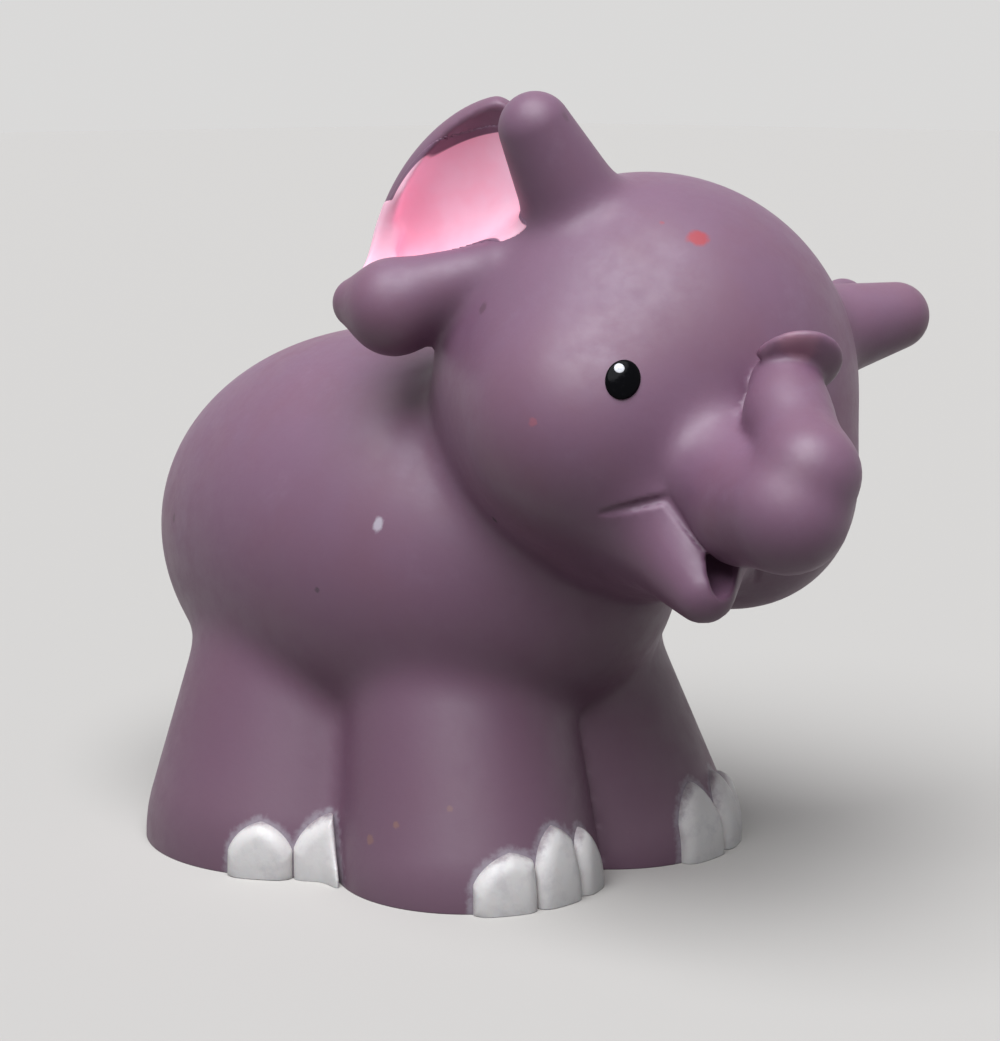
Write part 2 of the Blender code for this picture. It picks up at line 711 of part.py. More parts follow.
def make_toenails(surface):
    """White nails round the front of each foot. Returns the recesses they need."""
    white = material("white nail paint", WHITE, WHITE_ROUGHNESS)
    recesses = []
    for foot, angles in NAIL_ANGLES.items():
        front = foot.startswith("front")
        centre = beside_torso(FRONT_FOOT_SHARES if front else REAR_FOOT_SHARES, NAIL_MIDDLE_HEIGHT)
        if foot.endswith("right"):
            centre.x = -centre.x
        reach = (FRONT_FOOT_RADIUS if front else REAR_FOOT_RADIUS) + NAIL_THICKNESS
        width = FRONT_NAIL_WIDTH if front else REAR_NAIL_WIDTH
        for word, angle in angles.items():
            turn = math.radians(angle)
            way = Vector((math.sin(turn), -math.cos(turn), 0))
            place, outwards = surface.seen_from(centre + way * reach, -way)
            radii = Vector((width, NAIL_THICKNESS, NAIL_HEIGHT * NAIL_HEIGHT_SHARES[word])) / 2
            place -= outwards * radii.y * NAIL_SUNK_SHARE
            axes = upright_axes(outwards, Vector((0, 0, 1)))
            nail, recess = egg("toenail_" + foot + "_" + word, radii, place, axes, white)
            cut(nail, [floor_cutter("floor_under_" + nail.name)])
            recesses.append(recess)
    return recesses


def make_plate():
    """The plate, whose flange is caught inside. Returns the hole that it closes."""
    grey = material("plate plastic", PLATE_GREY, PLATE_ROUGHNESS)
    flange_width = PLATE_WIDTH + FLANGE_LIP * 2
    flange_length = PLATE_LENGTH + FLANGE_LIP * 2
    flange_low = WALL + CLEARANCE
    add("base_plate", oval_mesh("base_plate", (
        (PLATE_WIDTH, PLATE_LENGTH, 0), (PLATE_WIDTH, PLATE_LENGTH, flange_low),
        (flange_width, flange_length, flange_low),
        (flange_width, flange_length, flange_low + FLANGE_THICKNESS))), grey)
    hole_width = PLATE_WIDTH + CLEARANCE * 2
    hole_length = PLATE_LENGTH + CLEARANCE * 2
    return cutter("plate_hole", oval_mesh("plate_hole", (
        (hole_width, hole_length, -OVERRUN), (hole_width, hole_length, WALL + OVERRUN))))


def make_linings():
    """The pink floor of each ear. Returns the recesses that they lie in."""
    pink = material("pink paint", PINK, PINK_ROUGHNESS)
    recesses = []
    for side, word in ((-1, "right"), (1, "left")):
        name = "ear_lining_" + word
        thin_out(add(name, make_lining(side, 0, name), pink), LINING_KEPT_SHARE)
        recess = cutter(name + "_recess", make_lining(side, CLEARANCE, name + "_recess"))
        thin_out(recess, LINING_KEPT_SHARE)
        recesses.append(recess)
    return recesses


skin = make_skin()
surface = Surface(skin)
cut(skin, [
    make_hollow(), floor_cutter("floor_under_skin"), make_plate(),
    *make_linings(), *make_eyes(surface), *make_toenails(surface)])
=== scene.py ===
# Looks of a toy elephant figure: its vinyl skin, its spray-painted ears, eyes and toenails,
# and the plate under its belly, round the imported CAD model. Metres, +Z up.
# Names that end in share or shares are fractions of the size that carries the thing.

import math

import bmesh
import bpy
from mathutils import Matrix, Vector
from mathutils.bvhtree import BVHTree
from mathutils.kdtree import KDTree


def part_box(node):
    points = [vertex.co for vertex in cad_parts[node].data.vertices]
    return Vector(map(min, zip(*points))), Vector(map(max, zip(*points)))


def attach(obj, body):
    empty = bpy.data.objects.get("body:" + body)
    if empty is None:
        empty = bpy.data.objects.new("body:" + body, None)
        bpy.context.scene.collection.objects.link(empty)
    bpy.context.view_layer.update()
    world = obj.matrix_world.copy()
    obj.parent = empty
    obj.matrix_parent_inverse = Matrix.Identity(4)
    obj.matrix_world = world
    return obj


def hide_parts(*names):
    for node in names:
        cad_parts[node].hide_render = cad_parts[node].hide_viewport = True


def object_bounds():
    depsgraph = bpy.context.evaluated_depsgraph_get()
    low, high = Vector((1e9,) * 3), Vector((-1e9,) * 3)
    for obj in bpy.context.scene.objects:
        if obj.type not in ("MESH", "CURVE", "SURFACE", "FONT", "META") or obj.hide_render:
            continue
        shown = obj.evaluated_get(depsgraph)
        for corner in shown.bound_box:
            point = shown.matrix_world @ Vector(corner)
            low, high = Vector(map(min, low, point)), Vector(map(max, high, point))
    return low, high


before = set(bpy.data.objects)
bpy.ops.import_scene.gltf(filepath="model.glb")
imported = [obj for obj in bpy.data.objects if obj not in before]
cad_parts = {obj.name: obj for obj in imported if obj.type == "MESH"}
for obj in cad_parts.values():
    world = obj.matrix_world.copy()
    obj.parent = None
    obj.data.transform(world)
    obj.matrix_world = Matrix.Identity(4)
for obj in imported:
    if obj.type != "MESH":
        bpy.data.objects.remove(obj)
cad_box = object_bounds()


# The vinyl skin. One hollow casting of soft purple vinyl: torso, legs, turned and tilted
# head, trunk, jaw and ears in one piece. It came out of a split mould, so every form runs
# into the next in a soft fillet, and only the mouth and the trunk's curl end in a crease.

TORSO_LENGTH = 0.0642
TORSO_WIDTH = 0.0458
TORSO_HEIGHT = 0.0446
TORSO_CENTRE = (0, 0.007, 0.030)
LEG_HEIGHT = 0.024
FRONT_FOOT_RADIUS = 0.0131
FRONT_LEG_TOP_RADIUS = 0.0108
REAR_FOOT_RADIUS = 0.0169
REAR_LEG_TOP_RADIUS = 0.0134
MIDDLE_RADIUS = 0.0100
LEG_BLEND = 0.004
BELLY_BLEND = 0.003
NECK_BLEND = 0.004
MIDDLE_SHARES = (0, -0.25)
FRONT_FOOT_SHARES = (0.43, -0.60)
FRONT_LEG_TOP_SHARES = (0.24, -0.39)
REAR_FOOT_SHARES = (0.53, 0.10)
REAR_LEG_TOP_SHARES = (0.27, 0.15)

HEAD_RADIUS = 0.0204
HEAD_TURN = math.radians(-17)
HEAD_TILT = math.radians(25)
HEAD_CENTRE_SHARES = (0.13, -0.95, 0.83)
CHEEK = ((0.441, -0.412, -0.304), 0.539)
MUZZLE = ((0, -0.637, -0.270), 0.333)
SNOUT = ((0, -1.011, -0.341), 0.265)
UNDERSIDE = ((0, -1.219, -0.442), 0.228)
BEND = ((0, -1.516, -0.396), 0.242)
TUBE_BASE = ((0, -1.540, -0.217), 0.210)
TUBE_MIDDLE = ((0, -1.240, 0.004), 0.180)
TUBE_TOP = ((0, -1.135, 0.135), 0.160)
TIP = ((0, -1.140, 0.232), (0.198, 0.215, 0.055))
TIP_FOOT_SHARE = 0.045
TIP_HOLLOW = ((0, -1.120, 0.300), (0.140, 0.130, 0.050))
TIP_AXES = ((1, 0, 0), (0, -0.718, 0.696), (0, 0.696, 0.718))
JAW = ((0, -0.539, -0.417), 0.456)
LIP = ((0, -1.137, -0.819), 0.142)
MOUTH = ((0, -1.209, -0.628), (0.085, 0.220, 0.170))
MOUTH_AXES = ((1, 0, 0), (0, -0.715, -0.699), (0, -0.699, 0.715))
SMILE = (
    ((0.436, -0.838, -0.672), 0.012), ((0.352, -0.929, -0.592), 0.020), ((0.272, -1.005, -0.515), 0.020),
    ((0.170, -1.098, -0.602), 0.010), ((0.100, -1.173, -0.654), 0.008))
EAR_ROLL_ROOT = ((0.662, -0.095, 0.530), 0.252)
EAR_ROLL_TOP = ((1.094, -0.118, 0.824), 0.166)
EAR_LIP_ROOT = ((0.923, 0.061, 0.191), 0.128)
EAR_LIP_MIDDLE = ((1.182, 0.374, -0.123), 0.216)
EAR_LIP_TIP = ((1.281, 0.539, -0.159), 0.124)
EAR_EDGE_TOP = ((1.164, 0.772, 0.237), 0.050)
EAR_EDGE_LOW = ((1.231, 0.676, -0.017), 0.055)
EAR_BACK = ((0.990, 0.402, 0.412), (0.647, 0.441, 0.191))
EAR_CUP = ((1.098, 0.111, 0.661), (0.818, 0.311, 0.205))
EAR_OPENING = ((1.334, 0.470, 0.141), 0.290)
EAR_REACH_SHARE = 0.522
EAR_LONG_WAY = Vector((-0.04, -0.52, 0.855))
EAR_MOUTH_WAY = Vector((0.84, -0.48, -0.25))
CUP_LONG_WAY = Vector((0.025, -0.760, 0.650))
CUP_MOUTH_WAY = Vector((0.855, -0.321, -0.408))
CHEEK_BLEND_SHARE = 0.294
MUZZLE_BLEND_SHARE = 0.245
TUBE_BLEND_SHARE = 0.045
TUBE_BEND_BLEND_SHARE = 0.098
TIP_BLEND_SHARE = 0.040
JAW_BLEND_SHARE = 0.294
MOUTH_BLEND_SHARE = 0.040
SMILE_BLEND_SHARE = 0.020
CREASE_BLEND_SHARE = 0.012
EAR_BLEND_SHARE = 0.150
EAR_ROLL_BLEND_SHARE = 0.074
EAR_RIM_BLEND_SHARE = 0.049

PLATE_HALF_WIDTH = 0.0093
PLATE_HALF_LENGTH = 0.0123
PLATE_SIDES = 64
PLATE_GAP = 0.0003
UNDER_FLOOR = 0.0012
SKIN_MARGIN = 0.001

SKIN_CELL = 0.00066
FINE_REACH_SHARE = 0.03
SMALLEST_SHARE = 0.01

VINYL = (0.210, 0.104, 0.172, 1)
VINYL_WARM = (0.202, 0.088, 0.136, 1)
VINYL_PALE = (0.290, 0.190, 0.275, 1)
# Painted shade for the lower parts of the skin.
VINYL_PAINTED_SHADE = (0.136, 0.062, 0.102, 1)
VINYL_DUSKY = (0.150, 0.083, 0.120, 1)
NAIL_MIST = (0.420, 0.390, 0.430, 1)
RED_PAINT = (0.420, 0.030, 0.045, 1)
SCUFF_RED = (0.400, 0.110, 0.150, 1)
SCUFF_DARK = (0.110, 0.055, 0.080, 1)
SCUFF_BLACK = (0.012, 0.010, 0.014, 1)
SCUFF_PALE = (0.600, 0.540, 0.610, 1)
SCUFF_BROWN = (0.290, 0.150, 0.095, 1)
# A pinkish glow painted on the trunk's tip: painted light.
TRUNK_TIP_PAINTED_GLOW = (0.430, 0.200, 0.260, 1)
# Each mark, the painted glow on the trunk's tip among them, has a centre, a radius, a stretch, a colour and
# a strength.
VINYL_MARKS_AND_TIP_GLOW = (
    ((-0.00330, -0.03585, 0.06354), 0.00115, (0.8, 1, 1.2), RED_PAINT, 0.90),
    ((-0.00500, -0.03300, 0.06500), 0.00035, (1, 1, 1), RED_PAINT, 0.50),
    ((-0.02016, -0.03197, 0.04804), 0.00050, (1, 1, 1), SCUFF_RED, 0.60),
    ((-0.01554, -0.02059, 0.05699), 0.00065, (1, 1, 0.7), SCUFF_DARK, 0.65),
    ((-0.01435, -0.02092, 0.03717), 0.00050, (1, 1, 1), SCUFF_BLACK, 0.90),
    ((-0.01878, -0.00933, 0.03582), 0.00075, (1, 1.3, 0.8), SCUFF_PALE, 0.80),
    ((-0.02161, -0.00347, 0.02891), 0.00035, (1, 1, 1), SCUFF_BLACK, 0.60),
    ((-0.02013, 0.02186, 0.03253), 0.00045, (1, 1, 0.7), SCUFF_DARK, 0.80),
    ((-0.02187, -0.01136, 0.00560), 0.00065, (1, 1, 1), SCUFF_BROWN, 0.45),
    ((-0.02098, -0.01416, 0.00753), 0.00045, (1, 1, 1), SCUFF_BROWN, 0.50),
    ((-0.01795, -0.01850, 0.00945), 0.00040, (1, 1, 1), SCUFF_BROWN, 0.35),
    ((-0.00950, -0.02480, 0.07400), 0.00060, (1, 1, 0.6), SCUFF_DARK, 0.45),
    # Painted light: a pinkish glow on the underside of the trunk's tip.
    ((-0.00372, -0.04831, 0.05487), 0.00240, (1, 1, 1.5), TRUNK_TIP_PAINTED_GLOW, 0.45))
MARK_CLOUD_SHARE = 0.8
MARK_RAG_SHARE = 0.9
MARK_CORE_SHARE = 0.9
MARK_END_SHARE = 1.5

SMUDGE_SIZE = 0.014
BLOOM_SIZE = 0.0055
# Heights between which painted shade darkens the vinyl towards the floor.
PAINTED_SHADE_FROM = 0.010
PAINTED_SHADE_TO = 0.046
# A ragged band near the floor where the vinyl is darker.
LOW_BAND_SIZE = 0.006
LOW_BAND_RAG = 0.006
LOW_BAND_FROM = -0.002
LOW_BAND_TO = 0.010
HANDLED_SIZE = 0.0030
VINYL_GRAIN_SIZE = 0.0006
VINYL_GRAIN_DEPTH = 0.000012
VINYL_LIGHT_DEPTH = 0.0018
NAIL_MIST_SIZE = 0.0007
NAIL_MIST_RAG = 0.0011
NAIL_MIST_FROM = 0.0006
NAIL_MIST_TO = 0.0014


class Form:
    """A node tree that measures a form at every point of space.

    A form is the distance to its surface: negative inside, positive outside. The tree's
    named inputs are its sizes, and each may be a number or a vector.
    """

    def __init__(self, name, sizes, given_mesh=False):
        self.tree = bpy.data.node_groups.new(name, "GeometryNodeTree")
        self.sizes = sizes
        if given_mesh:
            self.tree.interface.new_socket("Rough mesh", in_out="INPUT", socket_type="NodeSocketGeometry")
        for label, value in sizes.items():
            kind = "NodeSocketFloat" if isinstance(value, float) else "NodeSocketVector"
            self.tree.interface.new_socket(label, in_out="INPUT", socket_type=kind)
        self.asked = self.tree.nodes.new("NodeGroupInput")
        self.point = self.tree.nodes.new("GeometryNodeInputPosition").outputs[0]

    def size(self, label):
        return self.asked.outputs[label]

    def feed(self, socket, value):
        if isinstance(value, bpy.types.NodeSocket):
            self.tree.links.new(value, socket)
        else:
            socket.default_value = value

    def node(self, kind, *values, result=0, **settings):
        made = self.tree.nodes.new(kind)
        for key, value in settings.items():
            setattr(made, key, value)
        for socket, value in zip(made.inputs, values):
            self.feed(socket, value)
        return made.outputs[result]

    def number(self, operation, *values, clamped=False):
        return self.node("ShaderNodeMath", *values, operation=operation, use_clamp=clamped)

    def vector(self, operation, *values):
        return self.node("ShaderNodeVectorMath", *values, operation=operation)

    def length(self, vector):
        return self.node("ShaderNodeVectorMath", vector, operation="LENGTH", result="Value")

    def along(self, vector, way):
        return self.node("ShaderNodeVectorMath", vector, way, operation="DOT_PRODUCT", result="Value")

    def times(self, vector, number):
        made = self.tree.nodes.new("ShaderNodeVectorMath")
        made.operation = "SCALE"
        self.feed(made.inputs[0], vector)
        self.feed(made.inputs["Scale"], number)
        return made.outputs[0]

    def turned(self, vector, axis, angle):
        made = self.tree.nodes.new("ShaderNodeVectorRotate")
        made.rotation_type = axis + "_AXIS"
        self.feed(made.inputs["Vector"], vector)
        self.feed(made.inputs["Angle"], angle)
        return made.outputs[0]

    def joined(self, x, y, z):
        return self.node("ShaderNodeCombineXYZ", x, y, z)

    def parts(self, vector):
        made = self.tree.nodes.new("ShaderNodeSeparateXYZ")
        self.feed(made.inputs[0], vector)
        return tuple(made.outputs)

    def mirrored(self, point):
        """The same place on the left side, so that one form makes a pair."""
        x, y, z = self.parts(point)
        return self.joined(self.number("ABSOLUTE", x), y, z)

    def framed(self, point, centre, axes):
        """The point as seen from a frame at centre, whose axes are given in a row."""
        away = self.vector("SUBTRACT", point, centre)
        return self.joined(*(self.along(away, axis) for axis in axes))

    def ball(self, point, centre, radius):
        return self.number("SUBTRACT", self.length(self.vector("SUBTRACT", point, centre)), radius)

    def egg(self, point, centre, radii):
        once = self.vector("DIVIDE", self.vector("SUBTRACT", point, centre), radii)
        near = self.number("MAXIMUM", self.length(once), SMALLEST_SHARE)
        steep = self.number("MAXIMUM", self.length(self.vector("DIVIDE", once, radii)), SMALLEST_SHARE)
        inside = self.number("MULTIPLY", near, self.number("SUBTRACT", near, 1))
        return self.number("DIVIDE", inside, steep)

    def limb(self, point, start, end, start_radius, end_radius):
        """Two balls and the cone that touches both of them."""
        run = self.vector("SUBTRACT", end, start)
        long = self.length(run)
        line = self.vector("NORMALIZE", run)
        slimmer = self.number("SUBTRACT", start_radius, end_radius)
        level = self.number("SQRT", self.number(
            "SUBTRACT", self.number("MULTIPLY", long, long), self.number("MULTIPLY", slimmer, slimmer)))
        slant = self.number("DIVIDE", slimmer, level)
        away = self.vector("SUBTRACT", point, start)
        height = self.along(away, line)
        off_line = self.length(self.vector("CROSS_PRODUCT", away, line))
        ball_height = self.number("SUBTRACT", height, self.number("MULTIPLY", off_line, slant))
        share = self.number("DIVIDE", ball_height, long, clamped=True)
        radius = self.number("SUBTRACT", start_radius, self.number("MULTIPLY", share, slimmer))
        return self.number("SUBTRACT", self.length(
            self.vector("SUBTRACT", away, self.times(run, share))), radius)

    def blend(self, one, other, fillet):
        return self.number("SMOOTH_MIN", one, other, fillet)

    def carve(self, form, cutter, fillet):
        return self.number("SMOOTH_MAX", form, self.outside(cutter), fillet)

    def either(self, one, other):
        return self.number("MINIMUM", one, other)

    def overlap(self, *forms):
        shared = forms[0]
        for form in forms[1:]:
            shared = self.number("MAXIMUM", shared, form)
        return shared

    def grown(self, form, amount):
        return self.number("SUBTRACT", form, amount)

    def outside(self, form):
        return self.number("MULTIPLY", form, -1)

    def cells(self, form):
        """The form's surface as a box of small cells gives it."""
        links, nodes = self.tree.links, self.tree.nodes
        cube = nodes.new("GeometryNodeVolumeCube")
        links.new(self.outside(form), cube.inputs["Density"])
        links.new(self.outside(self.size("Cell")), cube.inputs["Background"])
        links.new(self.size("Low corner"), cube.inputs["Min"])
        links.new(self.size("High corner"), cube.inputs["Max"])
        span = self.parts(self.vector("SUBTRACT", self.size("High corner"), self.size("Low corner")))
        for axis, side in zip("XYZ", span):
            count = self.number("CEIL", self.number("DIVIDE", side, self.size("Cell")))
            links.new(self.number("ADD", count, 1), cube.inputs["Resolution " + axis])
        to_mesh = nodes.new("GeometryNodeVolumeToMesh")
        to_mesh.inputs["Threshold"].default_value = 0
        links.new(cube.outputs[0], to_mesh.inputs["Volume"])
        return to_mesh.outputs[0]

    def settled(self, geometry, form, rounds=2):
        """Moves each point along its normal onto the form itself."""
        links, nodes = self.tree.links, self.tree.nodes
        for _ in range(rounds):
            moved = nodes.new("GeometryNodeSetPosition")
            links.new(geometry, moved.inputs["Geometry"])
            normal = nodes.new("GeometryNodeInputNormal").outputs[0]
            links.new(self.times(normal, self.outside(form)), moved.inputs["Offset"])
            geometry = moved.outputs[0]
        return geometry

    def end(self, geometry, material, kept=()):
        """Ends the tree. What is kept goes with the mesh as named values of its points."""
        links, nodes = self.tree.links, self.tree.nodes
        self.tree.interface.new_socket("Mesh", in_out="OUTPUT", socket_type="NodeSocketGeometry")
        for label, value in kept:
            store = nodes.new("GeometryNodeStoreNamedAttribute")
            store.inputs["Name"].default_value = label
            links.new(geometry, store.inputs["Geometry"])
            links.new(value, store.inputs["Value"])
            geometry = store.outputs[0]
        for kind in ("SetShadeSmooth", "RealizeInstances", "SetMaterial"):
            last = nodes.new("GeometryNode" + kind)
            links.new(geometry, last.inputs["Geometry"])
            geometry = last.outputs[0]
        last.inputs["Material"].default_value = material
        links.new(geometry, nodes.new("NodeGroupOutput").inputs["Mesh"])

    def piece(self, name, sizes, rough=None):
        """Runs the finished tree once with the given sizes, and keeps a plain mesh."""
        made = bpy.data.objects.new(name, rough or bpy.data.meshes.new(name))
        bpy.context.scene.collection.objects.link(made)
        modifier = made.modifiers.new("form", "NODES")
        modifier.node_group = self.tree
        for item in self.tree.interface.items_tree:
            if item.in_out == "INPUT" and item.socket_type != "NodeSocketGeometry":
                value = sizes.get(item.name, self.sizes[item.name])
                modifier[item.identifier] = value if isinstance(value, float) else tuple(value)
        bpy.context.view_layer.update()
        mesh = bpy.data.meshes.new_from_object(made.evaluated_get(bpy.context.evaluated_depsgraph_get()))
        mesh.name = name
        made.modifiers.remove(modifier)
        made.data = mesh
        keep_largest(mesh)
        return made


def keep_largest(mesh):
    """Drops the crumbs that a grid of cells leaves beyond a form's thin edges."""
    form = bmesh.new()
    form.from_mesh(mesh)
    left = set(form.verts)
    bodies = []
    while left:
        body, rim = set(), [left.pop()]
        while rim:
            vertex = rim.pop()
            body.add(vertex)
            near = {edge.other_vert(vertex) for edge in vertex.link_edges} & left
            left -= near
            rim.extend(near)
        bodies.append(body)
    largest = max(bodies, key=len)
    bmesh.ops.delete(form, geom=[vertex for vertex in form.verts if vertex not in largest], context="VERTS")
    form.to_mesh(mesh)
    form.free()


def beside_torso(form, shares, height):
    """A point of a leg's middle line on the toy's left, at a height above the floor."""
    x_share, y_share = shares
    centre = form.vector("MULTIPLY", form.size("Torso centre"), (1, 1, 0))
    reach = form.vector("MULTIPLY", form.size("Torso radii"), (x_share, y_share, 0))
    place = form.vector("ADD", centre, reach)
    return form.vector("ADD", place, form.joined(0, 0, height))


def torso_and_legs(form):
    pair = form.mirrored(form.point)
    torso = form.egg(form.point, form.size("Torso centre"), form.size("Torso radii"))
    front = form.limb(
        pair, beside_torso(form, FRONT_FOOT_SHARES, 0),
        beside_torso(form, FRONT_LEG_TOP_SHARES, form.size("Leg height")),
        FRONT_FOOT_RADIUS, FRONT_LEG_TOP_RADIUS)
    rear = form.limb(
        pair, beside_torso(form, REAR_FOOT_SHARES, 0),
        beside_torso(form, REAR_LEG_TOP_SHARES, form.size("Leg height")),
        REAR_FOOT_RADIUS, REAR_LEG_TOP_RADIUS)
    middle = form.limb(
        pair, beside_torso(form, MIDDLE_SHARES, 0),
        beside_torso(form, MIDDLE_SHARES, form.size("Leg height")),
        MIDDLE_RADIUS, MIDDLE_RADIUS)
    legs = form.blend(form.blend(front, rear, LEG_BLEND), middle, LEG_BLEND)
    return form.blend(torso, legs, BELLY_BLEND)


def in_head(form):
    """The point in the head's own frame, mirrored to its left, as shares of its radius."""
    away = form.vector("SUBTRACT", form.point, form.size("Head centre"))
    unturned = form.turned(away, "Z", form.outside(form.size("Head turn")))
    upright = form.turned(unturned, "Y", form.outside(form.size("Head tilt")))
    return form.mirrored(form.times(upright, form.number("DIVIDE", 1, form.size("Head radius"))))


def side_axes(long_way, out_way):
    """Three axes: along, across and outwards, from a long way and an outward way."""
    along = long_way.normalized()
    outwards = (out_way - along * out_way.dot(along)).normalized()
    return along, outwards.cross(along), outwards


EAR_AXES = side_axes(EAR_LONG_WAY, EAR_MOUTH_WAY)
CUP_AXES = side_axes(CUP_LONG_WAY, CUP_MOUTH_WAY)


def between(form, point, start, end):
    """A limb between two balls of the head, each given as a centre and a radius."""
    return form.limb(point, start[0], end[0], start[1], end[1])


def turned_egg(form, point, egg, axes):
    centre, radii = egg
    return form.egg(form.framed(point, centre, axes), (0, 0, 0), radii)


def ear_lip(form, point):
    inner = between(form, point, EAR_LIP_ROOT, EAR_LIP_MIDDLE)
    return form.blend(inner, between(form, point, EAR_LIP_MIDDLE, EAR_LIP_TIP), EAR_ROLL_BLEND_SHARE)


def ear_edge(form, point):
    return between(form, point, EAR_EDGE_TOP, EAR_EDGE_LOW)


def ear_cup(form, point):
    return turned_egg(form, point, EAR_CUP, CUP_AXES)


def ears(form, point):
    """A flat egg that is hollowed, with a roll before it, a thin edge and a fat lip below."""
    reach = form.along(form.vector("SUBTRACT", point, EAR_BACK[0]), EAR_AXES[0])
    back = form.number(
        "SMOOTH_MAX", turned_egg(form, point, EAR_BACK, EAR_AXES), form.grown(reach, EAR_REACH_SHARE),
        EAR_RIM_BLEND_SHARE)
    cupped = form.carve(back, ear_cup(form, point), EAR_RIM_BLEND_SHARE)
    roll = between(form, point, EAR_ROLL_ROOT, EAR_ROLL_TOP)
    rolled = form.blend(cupped, roll, EAR_ROLL_BLEND_SHARE)
    edged = form.blend(rolled, ear_edge(form, point), EAR_ROLL_BLEND_SHARE)
    edged = form.carve(edged, form.ball(point, *EAR_OPENING), EAR_RIM_BLEND_SHARE)
    return form.blend(edged, ear_lip(form, point), EAR_ROLL_BLEND_SHARE)


def smile(form, point):
    crease = between(form, point, SMILE[0], SMILE[1])
    for start, end in zip(SMILE[1:], SMILE[2:]):
        crease = form.number("MINIMUM", crease, between(form, point, start, end))
    return crease


def head(form, point):
    skull = form.blend(form.ball(point, (0, 0, 0), 1), form.ball(point, *CHEEK), CHEEK_BLEND_SHARE)
    muzzle = form.blend(
        between(form, point, MUZZLE, SNOUT), between(form, point, SNOUT, BEND), TIP_BLEND_SHARE)
    muzzle = form.blend(muzzle, form.blend(
        between(form, point, SNOUT, UNDERSIDE), between(form, point, UNDERSIDE, BEND), TIP_BLEND_SHARE),
        TUBE_BEND_BLEND_SHARE)
    upper = form.blend(skull, muzzle, MUZZLE_BLEND_SHARE)
    lower = form.blend(skull, between(form, point, JAW, LIP), JAW_BLEND_SHARE)
    lower = form.carve(lower, turned_egg(form, point, MOUTH, MOUTH_AXES), MOUTH_BLEND_SHARE)
    face = form.blend(upper, lower, CREASE_BLEND_SHARE)
    face = form.carve(face, smile(form, point), SMILE_BLEND_SHARE)
    tube = form.blend(
        between(form, point, TUBE_BASE, TUBE_MIDDLE), between(form, point, TUBE_MIDDLE, TUBE_TOP),
        TUBE_BEND_BLEND_SHARE)
    tube = form.blend(tube, between(form, point, BEND, TUBE_BASE), TUBE_BEND_BLEND_SHARE)
    below_tip = form.outside(form.along(form.vector("SUBTRACT", point, TIP[0]), TIP_AXES[1]))
    visor = form.number(
        "SMOOTH_MAX", turned_egg(form, point, TIP, TIP_AXES), form.grown(below_tip, TIP_FOOT_SHARE),
        TIP_BLEND_SHARE)
    tube = form.blend(tube, visor, TIP_BLEND_SHARE)
    face = form.blend(face, tube, TUBE_BLEND_SHARE)
    face = form.carve(face, turned_egg(form, point, TIP_HOLLOW, TIP_AXES), TIP_BLEND_SHARE)
    return form.blend(face, ears(form, point), EAR_BLEND_SHARE)


def figure(form, point):
    whole_head = form.number("MULTIPLY", head(form, point), form.size("Head radius"))
    return form.blend(torso_and_legs(form), whole_head, NECK_BLEND)


TORSO_RADII = Vector((TORSO_WIDTH, TORSO_LENGTH, TORSO_HEIGHT)) / 2
HEAD_CENTRE = Vector(TORSO_CENTRE) + TORSO_RADII * Vector(HEAD_CENTRE_SHARES)
HEAD_AXES = Matrix.Rotation(HEAD_TURN, 3, "Z") @ Matrix.Rotation(HEAD_TILT, 3, "Y")


def figure_sizes(cell, low, high):
    return {
        "Torso radii": TORSO_RADII,
        "Torso centre": Vector(TORSO_CENTRE),
        "Leg height": LEG_HEIGHT,
        "Head centre": HEAD_CENTRE,
        "Head radius": HEAD_RADIUS,
        "Head turn": HEAD_TURN,
        "Head tilt": HEAD_TILT,
        "Cell": cell,
        "Low corner": low,
        "High corner": high,
    }


